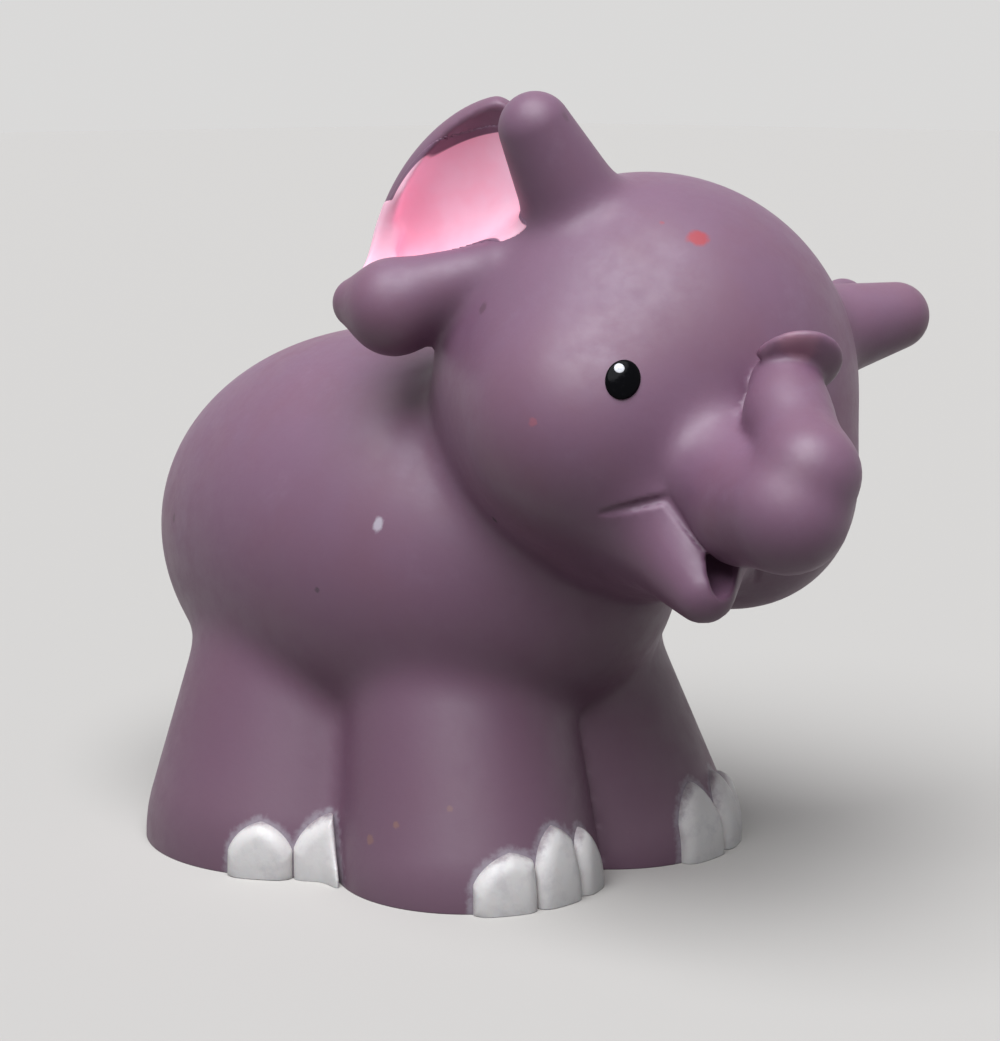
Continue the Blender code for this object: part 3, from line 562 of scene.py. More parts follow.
class Finish:
    """A Principled material that is built node by node on Object coordinates."""

    def __init__(self, name):
        self.material = bpy.data.materials.new(name)
        self.material.use_nodes = True
        self.nodes = self.material.node_tree.nodes
        self.links = self.material.node_tree.links
        self.shader = self.nodes["Principled BSDF"]
        self.place = self.nodes.new("ShaderNodeTexCoord").outputs["Object"]

    def set(self, label, value):
        self.shader.inputs[label].default_value = value

    def give(self, label, socket):
        self.links.new(socket, self.shader.inputs[label])

    def feed(self, socket, value):
        if isinstance(value, bpy.types.NodeSocket):
            self.links.new(value, socket)
        else:
            socket.default_value = value

    def number(self, operation, *values, clamped=False):
        made = self.nodes.new("ShaderNodeMath")
        made.operation = operation
        made.use_clamp = clamped
        for socket, value in zip(made.inputs, values):
            self.feed(socket, value)
        return made.outputs[0]

    def height(self):
        """How far above the floor a point is."""
        made = self.nodes.new("ShaderNodeSeparateXYZ")
        self.links.new(self.place, made.inputs[0])
        return made.outputs["Z"]

    def kept(self, label):
        """A value that was kept with the mesh."""
        made = self.nodes.new("ShaderNodeAttribute")
        made.attribute_name = label
        return made.outputs["Fac"]

    def noise(self, size, detail=3, roughness=0.5):
        """A cloud whose lumps are about a size across, from 0 to 1."""
        made = self.nodes.new("ShaderNodeTexNoise")
        self.links.new(self.place, made.inputs["Vector"])
        made.inputs["Scale"].default_value = 1 / size
        made.inputs["Detail"].default_value = detail
        made.inputs["Roughness"].default_value = roughness
        return made.outputs["Fac"]

    def ramp(self, value, low, high, start=0, end=1):
        """Goes smoothly from start to end as the value goes from low to high."""
        made = self.nodes.new("ShaderNodeMapRange")
        made.interpolation_type = "SMOOTHSTEP"
        for label, given in (
                ("Value", value), ("From Min", low), ("From Max", high), ("To Min", start), ("To Max", end)):
            self.feed(made.inputs[label], given)
        return made.outputs[0]

    def mix(self, share, one, other):
        made = self.nodes.new("ShaderNodeMix")
        made.data_type = "RGBA"
        self.feed(made.inputs["Factor"], share)
        self.feed(made.inputs[6], one)
        self.feed(made.inputs[7], other)
        return made.outputs[2]

    def distance(self, centre, stretch=(1, 1, 1)):
        away = self.nodes.new("ShaderNodeVectorMath")
        away.operation = "SUBTRACT"
        self.feed(away.inputs[0], self.place)
        away.inputs[1].default_value = centre
        shaped = self.nodes.new("ShaderNodeVectorMath")
        shaped.operation = "MULTIPLY"
        self.feed(shaped.inputs[0], away.outputs[0])
        shaped.inputs[1].default_value = stretch
        length = self.nodes.new("ShaderNodeVectorMath")
        length.operation = "LENGTH"
        self.feed(length.inputs[0], shaped.outputs[0])
        return length.outputs["Value"]

    def bump(self, height, depth):
        made = self.nodes.new("ShaderNodeBump")
        made.inputs["Strength"].default_value = 1
        made.inputs["Distance"].default_value = depth
        self.links.new(height, made.inputs["Height"])
        self.give("Normal", made.outputs[0])


def vinyl_colour(finish):
    """Purple with faint warmer smudges and paler blooms, with painted shade that darkens it towards the
    floor, and darker again in a ragged band near the floor.
    """
    smudges = finish.noise(SMUDGE_SIZE, detail=4, roughness=0.6)
    colour = finish.mix(finish.ramp(smudges, 0.42, 0.72, 0, 0.55), VINYL, VINYL_WARM)
    blooms = finish.noise(BLOOM_SIZE, detail=5, roughness=0.65)
    colour = finish.mix(finish.ramp(blooms, 0.55, 0.80, 0, 0.22), colour, VINYL_PALE)
    # Painted shade: the lower the skin, the darker it is painted.
    painted_shade = finish.ramp(finish.height(), PAINTED_SHADE_FROM, PAINTED_SHADE_TO, 0.75, 0)
    colour = finish.mix(painted_shade, colour, VINYL_PAINTED_SHADE)
    # Darker again in a ragged band close to the floor.
    rag = finish.number("MULTIPLY", finish.noise(LOW_BAND_SIZE, detail=4), LOW_BAND_RAG)
    low_down = finish.number("SUBTRACT", finish.height(), rag)
    return finish.mix(finish.ramp(low_down, LOW_BAND_FROM, LOW_BAND_TO, 0.45, 0), colour, VINYL_DUSKY)


def vinyl_finish():
    """Satin vinyl that lets a little reddish light through, with a few old marks and a painted pinkish glow
    on the trunk's tip.
    """
    finish = Finish("purple vinyl")
    colour = vinyl_colour(finish)
    for centre, radius, stretch, tint, strength in VINYL_MARKS_AND_TIP_GLOW:
        cloud = finish.noise(radius * MARK_CLOUD_SHARE, detail=4)
        rag = finish.number("MULTIPLY", cloud, radius * MARK_RAG_SHARE)
        away = finish.number("ADD", finish.distance(centre, stretch), rag)
        share = finish.ramp(away, radius * MARK_CORE_SHARE, radius * MARK_END_SHARE, strength, 0)
        colour = finish.mix(share, colour, tint)
    mist = finish.number(
        "MULTIPLY_ADD", finish.noise(NAIL_MIST_SIZE), NAIL_MIST_RAG, finish.kept("nail_distance"))
    colour = finish.mix(finish.ramp(mist, NAIL_MIST_FROM, NAIL_MIST_TO, 0.55, 0), colour, NAIL_MIST)
    finish.give("Base Color", colour)
    handled = finish.noise(HANDLED_SIZE, detail=5, roughness=0.7)
    finish.give("Roughness", finish.ramp(handled, 0.3, 0.75, 0.44, 0.58))
    finish.set("Specular IOR Level", 0.7)
    finish.set("Subsurface Weight", 0.18)
    finish.set("Subsurface Radius", (1.0, 0.45, 0.55))
    finish.set("Subsurface Scale", VINYL_LIGHT_DEPTH)
    finish.bump(finish.noise(VINYL_GRAIN_SIZE, detail=4, roughness=0.7), VINYL_GRAIN_DEPTH)
    return finish.material


def fine_places(form, point):
    """Negative round the ears, the trunk's tip and the mouth, where the skin needs small faces."""
    near = form.grown(ears(form, point), FINE_REACH_SHARE)
    for other in (
            turned_egg(form, point, TIP, TIP_AXES), smile(form, point),
            turned_egg(form, point, MOUTH, MOUTH_AXES)):
        near = form.either(near, form.grown(other, FINE_REACH_SHARE * 2))
    return near


def halve_faces(mesh, label):
    """Cuts each face in four where the value kept under the label is negative."""
    form = bmesh.new()
    form.from_mesh(mesh)
    layer = form.verts.layers.float[label]
    near = [edge for edge in form.edges if all(vertex[layer] < 0 for vertex in edge.verts)]
    bmesh.ops.subdivide_edges(form, edges=near, cuts=1, use_grid_fill=True)
    bmesh.ops.triangulate(form, faces=[face for face in form.faces if len(face.verts) > 4])
    form.to_mesh(mesh)
    form.free()


def stand_on_floor(mesh, hole=None):
    """Cuts a mesh flat at the floor and closes it. A hole is an oval's half sizes and its depth."""
    form = bmesh.new()
    form.from_mesh(mesh)
    cut = bmesh.ops.bisect_plane(
        form, geom=form.verts[:] + form.edges[:] + form.faces[:], plane_co=(0, 0, 0), plane_no=(0, 0, -1),
        clear_outer=True)
    rim = [item for item in cut["geom_cut"] if isinstance(item, bmesh.types.BMEdge)]
    oval = []
    for side in range(PLATE_SIDES if hole else 0):
        turn = 2 * math.pi * side / PLATE_SIDES
        oval.append(form.verts.new((hole[0] * math.cos(turn), hole[1] * math.sin(turn), 0)))
    edges = [form.edges.new((oval[side - 1], oval[side])) for side in range(len(oval))]
    bmesh.ops.triangle_fill(form, edges=rim + edges, use_beauty=True)
    if hole:
        raised = bmesh.ops.extrude_edge_only(form, edges=edges)["geom"]
        top = [item for item in raised if isinstance(item, bmesh.types.BMVert)]
        bmesh.ops.translate(form, verts=top, vec=(0, 0, hole[2]))
        ring = [item for item in raised if isinstance(item, bmesh.types.BMEdge) and item.is_boundary]
        bmesh.ops.triangle_fill(form, edges=ring, use_beauty=True)
    bmesh.ops.recalc_face_normals(form, faces=form.faces)
    form.to_mesh(mesh)
    form.free()


low, high = (Vector(corner) for corner in cad_box)
margin = Vector((SKIN_MARGIN, SKIN_MARGIN, SKIN_MARGIN))
below = Vector((0, 0, UNDER_FLOOR))
skin_sizes = figure_sizes(SKIN_CELL, low - margin - below, high + margin)
vinyl = vinyl_finish()


def above_cut(form):
    """Negative above the level, a little under the floor, where every form ends."""
    return form.number("SUBTRACT", -UNDER_FLOOR, form.along(form.point, (0, 0, 1)))


def skin_tree(name, given_mesh):
    """The figure's form, cut a little under the floor, in a tree of its own."""
    form = Form(name, skin_sizes, given_mesh)
    return form, form.overlap(figure(form, in_head(form)), above_cut(form))


rough_tree, rough_form = skin_tree("elephant skin, rough", False)
rough_tree.end(
    rough_tree.settled(rough_tree.cells(rough_form), rough_form, 1), vinyl,
    kept=[("fine", fine_places(rough_tree, in_head(rough_tree)))])
rough_skin = rough_tree.piece("rough_skin", {})
halve_faces(rough_skin.data, "fine")
fine_tree, fine_form = skin_tree("elephant skin", True)
fine_tree.end(fine_tree.settled(fine_tree.size("Rough mesh"), fine_form, 3), vinyl)
skin = fine_tree.piece("elephant_skin", {}, rough_skin.data)
bpy.data.objects.remove(rough_skin)
_, plate_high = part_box("base_plate")
stand_on_floor(skin.data, (PLATE_HALF_WIDTH, PLATE_HALF_LENGTH, plate_high.z + PLATE_GAP))
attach(skin, "root")
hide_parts("body_skin")
skin_tree_of_faces = BVHTree.FromPolygons(
    [vertex.co for vertex in skin.data.vertices], [face.vertices for face in skin.data.polygons])


# The belly plate. A dull oval plug of stiffer plastic, a shade darker than the skin, pressed
# into the hole that the skin was cast and emptied through. It is drawn in the CAD model, and
# only gets its finish here.

PLATE_PLASTIC = (0.135, 0.085, 0.125, 1)
PLATE_SCUFFED = (0.215, 0.155, 0.205, 1)
PLATE_SCUFF_SIZE = 0.0016
PLATE_GRAIN_SIZE = 0.0005
PLATE_GRAIN_DEPTH = 0.00002


def plate_finish():
    finish = Finish("belly plate plastic")
    scuffs = finish.noise(PLATE_SCUFF_SIZE, detail=6, roughness=0.75)
    scuffed = finish.ramp(scuffs, 0.52, 0.74, 0, 0.8)
    finish.give("Base Color", finish.mix(scuffed, PLATE_PLASTIC, PLATE_SCUFFED))
    finish.give("Roughness", finish.ramp(scuffs, 0.4, 0.7, 0.42, 0.62))
    finish.bump(finish.noise(PLATE_GRAIN_SIZE), PLATE_GRAIN_DEPTH)
    return finish.material


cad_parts["base_plate"].material_slots[0].material = plate_finish()


# The ear paint. Both ear cups are sprayed a warm pink through a mask, up to a clean edge
# below the rim and along the roll and the lip. It is a film of paint with a satin sheen, thinner
# and paler in patches, with a few specks of dust in it. A deeper pink along its edges is painted
# shade, and a faint pink glow given as emission is painted light.

EAR_PAINT = ((0.924, 0.123, 0.185), 0.669)
EAR_PAINT_LOW = ((1.240, 0.700, 0.120), 0.240)
EAR_PAINT_FILM = 0.00004
EAR_PAINT_BITE = 0.0011
EAR_PAINT_GAP_SHARE = 0.010
EAR_PAINT_BARE_SHARE = 0.022
EAR_PAINT_SPARE_SHARE = 0.030
EAR_PAINT_CELL = 0.0002
EAR_PAINT_BLEND_SHARE = 0.03
EAR_FRONT_SHARE = 0.04
PAINT_MARGIN = 0.0045

PINK = (0.960, 0.500, 0.630, 1)
PINK_PALE = (0.980, 0.640, 0.760, 1)
PINK_PAINTED_SHADE = (0.880, 0.360, 0.490, 1)
PINK_PAINTED_GLOW = (1.000, 0.400, 0.540, 1)
PINK_PAINTED_GLOW_STRENGTH = 0.16
PAINT_DUST = (0.250, 0.080, 0.130, 1)
PAINT_CLOUD_SIZE = 0.006
PAINT_SHADE_WIDTH = 0.0012
PAINT_DUST_SIZE = 0.00055
PAINT_FADE_FROM = -0.00005
PAINT_FADE_TO = 0.00006
PAINT_SHEEN_SIZE = 0.002
PAINT_LIGHT_DEPTH = 0.0012
PAINT_GRAIN_SIZE = 0.0009
PAINT_GRAIN_DEPTH = 0.00001


def ear_paint(form, point):
    """The hole of the paint mask, in shares of the head's radius."""
    return form.blend(form.ball(point, *EAR_PAINT), form.ball(point, *EAR_PAINT_LOW), EAR_PAINT_BLEND_SHARE)


def ear_covered(form, point):
    """The roll and the lip, which the paint stops short of."""
    return form.either(between(form, point, EAR_ROLL_ROOT, EAR_ROLL_TOP), ear_lip(form, point))


def ear_face(form, point):
    """Negative close behind the cup's face and its thin lower edge, clear of roll and lip."""
    outwards = form.along(form.vector("SUBTRACT", point, EAR_BACK[0]), EAR_AXES[2])
    edge = form.overlap(form.ball(point, *EAR_PAINT_LOW), form.number("SUBTRACT", EAR_FRONT_SHARE, outwards))
    cup = form.grown(ear_cup(form, point), EAR_PAINT_BITE / HEAD_RADIUS)
    bare = form.grown(ear_covered(form, point), EAR_PAINT_GAP_SHARE)
    return form.overlap(form.either(cup, edge), form.outside(bare))


def ear_paint_finish():
    finish = Finish("ear paint")
    thin = finish.noise(PAINT_CLOUD_SIZE)
    colour = finish.mix(finish.ramp(thin, 0.35, 0.70), PINK, PINK_PALE)
    # Painted shade: a deeper pink along the paint's edge and in the creases at the roll and the lip.
    edge_shade = finish.ramp(finish.kept("edge"), 0, PAINT_SHADE_WIDTH, 0.22, 0)
    colour = finish.mix(edge_shade, colour, PINK_PAINTED_SHADE)
    dust = finish.noise(PAINT_DUST_SIZE, detail=2, roughness=0.6)
    colour = finish.mix(finish.ramp(dust, 0.78, 0.84, 0, 0.35), colour, PAINT_DUST)
    painted = finish.ramp(finish.kept("edge"), PAINT_FADE_FROM, PAINT_FADE_TO)
    finish.give("Base Color", finish.mix(painted, vinyl_colour(finish), colour))
    sheen = finish.noise(PAINT_SHEEN_SIZE, detail=4)
    finish.give("Roughness", finish.ramp(sheen, 0.3, 0.7, 0.42, 0.55))
    # Painted light: a faint pink glow given as emission.
    finish.set("Emission Color", PINK_PAINTED_GLOW)
    finish.give("Emission Strength", finish.number("MULTIPLY", painted, PINK_PAINTED_GLOW_STRENGTH))
    finish.set("Subsurface Weight", 0.12)
    finish.set("Subsurface Radius", (1.0, 0.4, 0.45))
    finish.set("Subsurface Scale", PAINT_LIGHT_DEPTH)
    finish.bump(finish.noise(PAINT_GRAIN_SIZE), PAINT_GRAIN_DEPTH)
    return finish.material


def in_metres(form, shares):
    """A measure of the head's own frame, which is in shares of its radius."""
    return form.number("MULTIPLY", shares, form.size("Head radius"))


reach = Vector((PAINT_MARGIN, PAINT_MARGIN, PAINT_MARGIN))
film_form = Form("ear paint film", figure_sizes(EAR_PAINT_CELL, low, high))
film_point = in_head(film_form)
film_head = in_metres(film_form, head(film_form, film_point))
film_mask = in_metres(film_form, ear_paint(film_form, film_point))
film_face = in_metres(film_form, ear_face(film_form, film_point))
film_spare = in_metres(film_form, EAR_PAINT_SPARE_SHARE)
film_bare = in_metres(
    film_form, film_form.grown(ear_covered(film_form, film_point), EAR_PAINT_BARE_SHARE))
film = film_form.overlap(
    film_form.grown(film_head, EAR_PAINT_FILM), film_form.grown(film_mask, film_spare), film_face)
film_form.end(
    film_form.settled(film_form.cells(film), film), ear_paint_finish(),
    kept=[("edge", film_form.either(film_form.outside(film_mask), film_bare))])
for side in ("right", "left"):
    node_low, node_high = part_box("ear_lining_" + side)
    film_piece = film_form.piece(
        "ear_paint_" + side, {"Low corner": node_low - reach, "High corner": node_high + reach})
    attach(film_piece, "root")
    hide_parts("ear_lining_" + side)


# The eyes. Each is a thick oval drop of black gloss paint that stands a little proud of the
# skin, with a small white dot of paint at its upper inner side for the glint.

EYE_WAY = Vector((0.569, -0.815, -0.105))
EYE_WIDTH = 0.0031
EYE_HEIGHT = 0.0037
EYE_RISE = 0.00042
EYE_ROOT = 0.0006
GLINT_DIAMETER = 0.00092
GLINT_RISE = 0.00009
GLINT_PLACE_SHARES = (-0.44, 0.39)
EYE_SIDES = 72
EYE_RINGS = 16

EYE_BLACK = (0.002, 0.002, 0.003, 1)
EYE_DUSTY = (0.014, 0.013, 0.017, 1)
GLINT_WHITE = (0.800, 0.800, 0.820, 1)
GLINT_GREY = (0.560, 0.560, 0.600, 1)
EYE_DUST_SIZE = 0.0004
EYE_WAVE_SIZE = 0.0008
EYE_WAVE_DEPTH = 0.000012
GLINT_CLOUD_SIZE = 0.0003


def eye_finish():
    finish = Finish("eye gloss paint")
    finish.set("Specular IOR Level", 0.05)
    dust = finish.noise(EYE_DUST_SIZE, detail=5, roughness=0.75)
    finish.give("Base Color", finish.mix(finish.ramp(dust, 0.55, 0.78, 0, 0.7), EYE_BLACK, EYE_DUSTY))
    finish.give("Roughness", finish.ramp(dust, 0.4, 0.75, 0.10, 0.26))
    finish.bump(finish.noise(EYE_WAVE_SIZE, detail=2), EYE_WAVE_DEPTH)
    return finish.material


def glint_finish():
    finish = Finish("glint paint")
    thin = finish.noise(GLINT_CLOUD_SIZE, detail=4)
    finish.give("Base Color", finish.mix(finish.ramp(thin, 0.50, 0.75), GLINT_WHITE, GLINT_GREY))
    finish.give("Roughness", finish.ramp(thin, 0.3, 0.7, 0.25, 0.40))
    return finish.material


def drop(name, place, across, up, out, half_sizes, root, material):
    """A closed drop of paint: a low dome, and a shallow root under it."""
    form = bmesh.new()
    bmesh.ops.create_uvsphere(form, u_segments=EYE_SIDES, v_segments=EYE_RINGS * 2, radius=1)
    for vertex in form.verts:
        x, y, z = vertex.co
        depth = z * (half_sizes[2] if z > 0 else root)
        vertex.co = place + across * x * half_sizes[0] + up * y * half_sizes[1] + out * depth
    for face in form.faces:
        face.smooth = True
    mesh = bpy.data.meshes.new(name)
    form.to_mesh(mesh)
    form.free()
    mesh.materials.append(material)
    made = bpy.data.objects.new(name, mesh)
    bpy.context.scene.collection.objects.link(made)
    return made


eye_paint, glint_paint = eye_finish(), glint_finish()
for side, sign in (("right", -1), ("left", 1)):
    way = HEAD_AXES @ Vector((sign * EYE_WAY.x, EYE_WAY.y, EYE_WAY.z))
    place, out, _, _ = skin_tree_of_faces.ray_cast(HEAD_CENTRE + way * HEAD_RADIUS * 2, -way)
    up = HEAD_AXES @ Vector((0, 0, 1))
    up = (up - out * up.dot(out)).normalized()
    across = up.cross(out)
    eye = drop(
        "eye_paint_" + side, place, across, up, out, (EYE_WIDTH / 2, EYE_HEIGHT / 2, EYE_RISE), EYE_ROOT,
        eye_paint)
    x_share, y_share = GLINT_PLACE_SHARES
    flat = across * x_share * EYE_WIDTH / 2 + up * y_share * EYE_HEIGHT / 2
    level = math.sqrt(1 - x_share ** 2 - y_share ** 2)
    slope = Vector((x_share / (EYE_WIDTH / 2), y_share / (EYE_HEIGHT / 2), level / EYE_RISE)).normalized()
    glint_out = across * slope.x + up * slope.y + out * slope.z
    glint_up = (up - glint_out * up.dot(glint_out)).normalized()
    glint = drop(
        "eye_glint_paint_" + side, place + flat + out * level * EYE_RISE, glint_up.cross(glint_out),
        glint_up, glint_out, (GLINT_DIAMETER / 2, GLINT_DIAMETER / 2, GLINT_RISE), GLINT_RISE, glint_paint)
    for piece, node, slot in ((eye, "eye_", "eye_paint"), (glint, "eye_glint_", "glint_paint")):
        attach(piece, "root")
        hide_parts(node + side)


# The toenails. Each foot's front has fat petals moulded in the skin, two on a hind foot and
# three on a forefoot, which touch at the floor. They are sprayed pearly white, which fades
# out at their tips and leaves a little purple there and a grey mist on the skin round them.

NAIL_CELL = 0.0002
NAIL_ROOT = 0.0006
NAIL_EDGE = 0.0014
NAIL_EDGE_BLEND = 0.0003
NAIL_GAP = 0.00006
NAIL_BASE_HEIGHT = 0.0012
# Each nail has its start and end round the foot in degrees, its lean and its height.
NAILS = {
    "front_right": (
        ("outer", -41, -13, 0.25, 0.0055), ("middle", -13, 11, 0.2, 0.0072), ("inner", 11, 31, 0, 0.0062)),
    "front_left": (
        ("inner", -11, 16, 0, 0.0076), ("middle", 16, 40, 0, 0.0076), ("outer", 40, 64, 0, 0.0062)),
    "rear_right": (("outer", -67, -44, 0, 0.0054), ("inner", -44, -30, 1, 0.0064)),
    "rear_left": (("inner", 30, 44, -1, 0.0064), ("outer", 44, 67, 0, 0.0054)),
}
NAIL_BULGE = 0.0011
NAIL_POINTED_SHARE = 0.35
NAIL_WIDTH_SHARE = 1.06
NAIL_REACH = 0.0055
NAIL_MARGIN_BELOW = 0.0006
NAIL_MARGIN_ABOVE = 0.001
MIST_HEIGHT = 0.02

NAIL_WHITE = (0.740, 0.705, 0.680, 1)
NAIL_GREY = (0.520, 0.485, 0.490, 1)
NAIL_CLOUD_SIZE = 0.0022
NAIL_RAG_SIZE = 0.0011
NAIL_RAG = 0.0008
NAIL_BARE_FROM = 0.0030
NAIL_BARE_TO = 0.0060
NAIL_BARE_WIDTH = 0.0006
NAIL_FADE_FROM = -0.0008
NAIL_FADE_TO = 0.0002
NAIL_LIGHT_DEPTH = 0.001
NAIL_GRAIN_SIZE = 0.0007
NAIL_GRAIN_DEPTH = 0.00003


def nail_finish():
    finish = Finish("toenail paint")
    thin = finish.noise(NAIL_CLOUD_SIZE, detail=5, roughness=0.65)
    colour = finish.mix(finish.ramp(thin, 0.45, 0.75, 0, 0.5), NAIL_WHITE, NAIL_GREY)
    rag = finish.number("MULTIPLY", finish.noise(NAIL_RAG_SIZE, detail=5, roughness=0.7), NAIL_RAG)
    inside = finish.number("SUBTRACT", finish.kept("edge"), rag)
    low_down = finish.ramp(finish.height(), NAIL_BARE_FROM, NAIL_BARE_TO, NAIL_BARE_WIDTH, 0)
    share = finish.ramp(finish.number("ADD", inside, low_down), NAIL_FADE_FROM, NAIL_FADE_TO)
    finish.give("Base Color", finish.mix(share, VINYL_DUSKY, colour))
    finish.give("Roughness", finish.ramp(thin, 0.3, 0.7, 0.30, 0.46))
    finish.set("Subsurface Weight", 0.05)
    finish.set("Subsurface Scale", NAIL_LIGHT_DEPTH)
    finish.bump(finish.noise(NAIL_GRAIN_SIZE, detail=4), NAIL_GRAIN_DEPTH)
    return finish.material


nail_form = Form("toenail", {
    "Foot centre": Vector((0, 0, 0)),
    "Out turn": 0.0,
    "Half angle": 0.2,
    "Arch radii": Vector((0.004, 1, 0.006)),
    "Arch shift": 0.001,
    "Arch aside": 0.0,
    "Bulge": NAIL_BULGE,
    **{label: value for label, value in skin_sizes.items() if not label.startswith("Head")},
})


def nail_petal(form):
    """A gothic arch of two ovals, cut where the next nail starts, as seen from the front."""
    away = form.vector("SUBTRACT", form.point, form.size("Foot centre"))
    across, back, height = form.parts(form.turned(away, "Z", form.outside(form.size("Out turn"))))
    aside = form.number("ABSOLUTE", across)
    off_arch = form.number("ABSOLUTE", form.number("SUBTRACT", across, form.size("Arch aside")))
    place = form.joined(
        form.number("ADD", off_arch, form.size("Arch shift")), 0,
        form.number("SUBTRACT", height, NAIL_BASE_HEIGHT))
    arch = form.egg(place, (0, 0, 0), form.size("Arch radii"))
    cosine = form.number("COSINE", form.size("Half angle"))
    sine = form.number("SINE", form.size("Half angle"))
    next_one = form.number(
        "ADD", form.number("MULTIPLY", aside, cosine), form.number("MULTIPLY", back, sine))
    return form.overlap(arch, form.grown(next_one, -NAIL_GAP)), back


petal, behind = nail_petal(nail_form)
foot = torso_and_legs(nail_form)
inwards = nail_form.number("DIVIDE", nail_form.outside(petal), NAIL_EDGE, clamped=True)
outwards = nail_form.number("SUBTRACT", 1, inwards)
swell = nail_form.number("SQRT", nail_form.number(
    "SUBTRACT", 1, nail_form.number("MULTIPLY", outwards, outwards)))
swollen = nail_form.number(
    "SUBTRACT", foot, nail_form.number("MULTIPLY", swell, nail_form.size("Bulge")))
nail_body = nail_form.overlap(
    nail_form.number("SMOOTH_MAX", petal, swollen, NAIL_EDGE_BLEND),
    nail_form.outside(nail_form.grown(foot, -NAIL_ROOT)), behind, above_cut(nail_form))
nail_form.end(
    nail_form.settled(nail_form.cells(nail_body), nail_body, 1), nail_finish(),
    kept=[("edge", nail_form.outside(petal))])

FEET = {"front": (FRONT_FOOT_SHARES, FRONT_FOOT_RADIUS), "rear": (REAR_FOOT_SHARES, REAR_FOOT_RADIUS)}
nail_places = []
for foot_name, nails in NAILS.items():
    end_name, side = foot_name.split("_")
    (x_share, y_share), foot_radius = FEET[end_name]
    sign = 1 if side == "left" else -1
    foot_centre = Vector((
        sign * x_share * TORSO_RADII.x, TORSO_CENTRE[1] + y_share * TORSO_RADII.y, 0))
    for nail_name, start, end, lean, height in nails:
        middle, half = math.radians(start + end) / 2, math.radians(end - start) / 2
        half_width = foot_radius * math.sin(half) * (1 + abs(lean)) * NAIL_WIDTH_SHARE
        shift = half_width * NAIL_POINTED_SHARE
        rise = (height - NAIL_BASE_HEIGHT) / math.sqrt(1 - (shift / (half_width + shift)) ** 2)
        out = Vector((math.sin(middle), -math.cos(middle), 0))
        place = foot_centre + out * foot_radius
        nail = nail_form.piece("toenail_{}_{}_paint".format(foot_name, nail_name), {
            "Foot centre": foot_centre,
            "Out turn": middle,
            "Half angle": half,
            "Arch radii": Vector((half_width + shift, 1, rise)),
            "Arch shift": shift,
            "Arch aside": lean * foot_radius * math.sin(half),
            "Cell": NAIL_CELL,
            "Low corner": place - Vector((NAIL_REACH, NAIL_REACH, UNDER_FLOOR + NAIL_MARGIN_BELOW)),
            "High corner": place + Vector((NAIL_REACH, NAIL_REACH, height + NAIL_MARGIN_ABOVE)),
        })
        stand_on_floor(nail.data)
        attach(nail, "root")
        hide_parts("toenail_{}_{}".format(foot_name, nail_name))
        nail_places.extend(vertex.co.copy() for vertex in nail.data.vertices)


def keep_nail_distance(mesh, places):
    """Keeps with each point of the skin how far it is from the nearest toenail."""
    near = KDTree(len(places))
    for number, place in enumerate(places):
        near.insert(place, number)
    near.balance()
    kept = mesh.attributes.new("nail_distance", "FLOAT", "POINT")
    values = [
        near.find(vertex.co)[2] if vertex.co.z < MIST_HEIGHT else MIST_HEIGHT for vertex in mesh.vertices]
    kept.data.foreach_set("value", values)


keep_nail_distance(skin.data, nail_places)


# The room. A pale floor that the toy stands on, a wide soft window light from above, and the
# camera where the photograph was taken from.

CAMERA_PLACE = (-0.16920, -0.18582, 0.07761)
CAMERA_AIM = (0, -0.00638, 0.03347)
CAMERA_LENS = 85.29
WINDOW_WAY = (-0.38, -0.24, 1.0)
WINDOW_STRENGTH = 4.1
WINDOW_LIGHT = (0.92, 0.95, 1.0)
WINDOW_SPREAD = 60
FLOOR_PALE = (0.560, 0.535, 0.500, 1)
FLOOR_SHADE = (0.06, 0.058, 0.055, 1)
FLOOR_REACH = 3.0
WALL_PALE = (0.700, 0.695, 0.690, 1)
WALL_SHADE = (0.86, 0.90, 1.0, 1)
WALL_SHADE_STRENGTH = 0.15


def add_camera():
    data = bpy.data.cameras.new("camera")
    data.lens = CAMERA_LENS
    data.sensor_width = 36
    data.clip_start = 0.01
    camera = bpy.data.objects.new("camera", data)
    bpy.context.scene.collection.objects.link(camera)
    camera.location = CAMERA_PLACE
    look = Vector(CAMERA_AIM) - camera.location
    camera.rotation_euler = look.to_track_quat("-Z", "Y").to_euler()
    bpy.context.scene.camera = camera


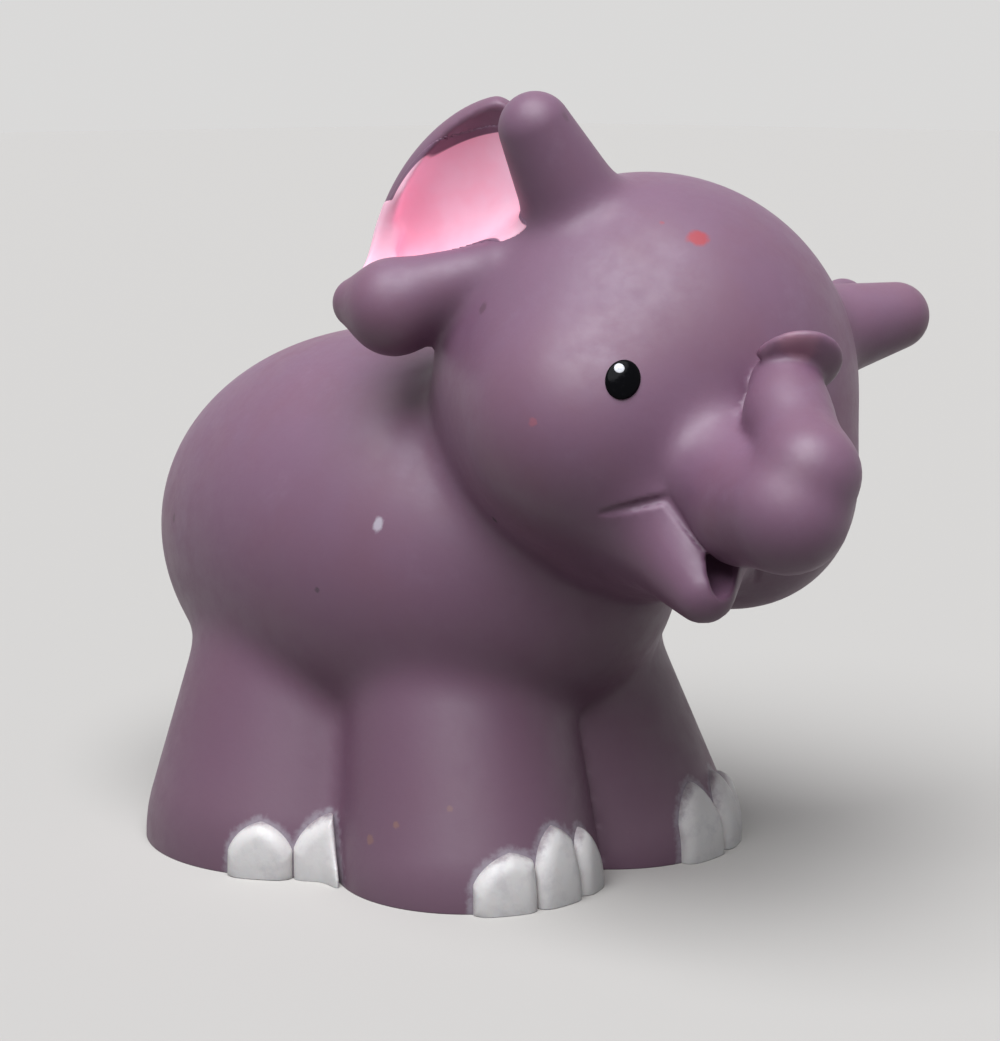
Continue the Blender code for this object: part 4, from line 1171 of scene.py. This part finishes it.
def add_sun(name, from_way, strength, colour, spread):
    """A light from far off. The spread is how wide it looks in the sky, in degrees."""
    data = bpy.data.lights.new(name, "SUN")
    data.energy = strength
    data.color = colour
    data.angle = math.radians(spread)
    light = bpy.data.objects.new(name, data)
    bpy.context.scene.collection.objects.link(light)
    light.rotation_euler = Vector(from_way).to_track_quat("Z", "Y").to_euler()


add_camera()
add_sun("window", WINDOW_WAY, WINDOW_STRENGTH, WINDOW_LIGHT, WINDOW_SPREAD)


def seen_directly(nodes, links):
    """1 where the eye, a gloss or a clear thing looks, and 0 for the light that surfaces scatter."""
    path = nodes.new("ShaderNodeLightPath")
    seen = path.outputs["Is Camera Ray"]
    for label in ("Is Glossy Ray", "Is Transmission Ray"):
        either = nodes.new("ShaderNodeMath")
        either.operation = "MAXIMUM"
        links.new(seen, either.inputs[0])
        links.new(path.outputs[label], either.inputs[1])
        seen = either.outputs[0]
    return seen


def floor_finish():
    finish = Finish("pale floor")
    finish.give("Base Color", finish.mix(seen_directly(finish.nodes, finish.links), FLOOR_SHADE, FLOOR_PALE))
    finish.set("Roughness", 0.95)
    finish.set("Specular IOR Level", 0.1)
    return finish.material


mesh = bpy.data.meshes.new("floor")
corners = [(x * FLOOR_REACH, y * FLOOR_REACH, 0) for x, y in ((-1, -1), (1, -1), (1, 1), (-1, 1))]
mesh.from_pydata(corners, [], [(0, 1, 2, 3)])
mesh.materials.append(floor_finish())
floor = bpy.data.objects.new("floor", mesh)
bpy.context.scene.collection.objects.link(floor)

world = bpy.data.worlds.new("soft room")
bpy.context.scene.world = world
world.use_nodes = True
shown = world.node_tree.nodes["Background"]
shown.inputs["Color"].default_value = WALL_PALE
shown.inputs["Strength"].default_value = 1
unseen = world.node_tree.nodes.new("ShaderNodeBackground")
unseen.inputs["Color"].default_value = WALL_SHADE
unseen.inputs["Strength"].default_value = WALL_SHADE_STRENGTH
both = world.node_tree.nodes.new("ShaderNodeMixShader")
world.node_tree.links.new(seen_directly(world.node_tree.nodes, world.node_tree.links), both.inputs[0])
world.node_tree.links.new(unseen.outputs[0], both.inputs[1])
world.node_tree.links.new(shown.outputs[0], both.inputs[2])
world.node_tree.links.new(both.outputs[0], world.node_tree.nodes["World Output"].inputs["Surface"])

bpy.context.scene.view_settings.view_transform = "Standard"
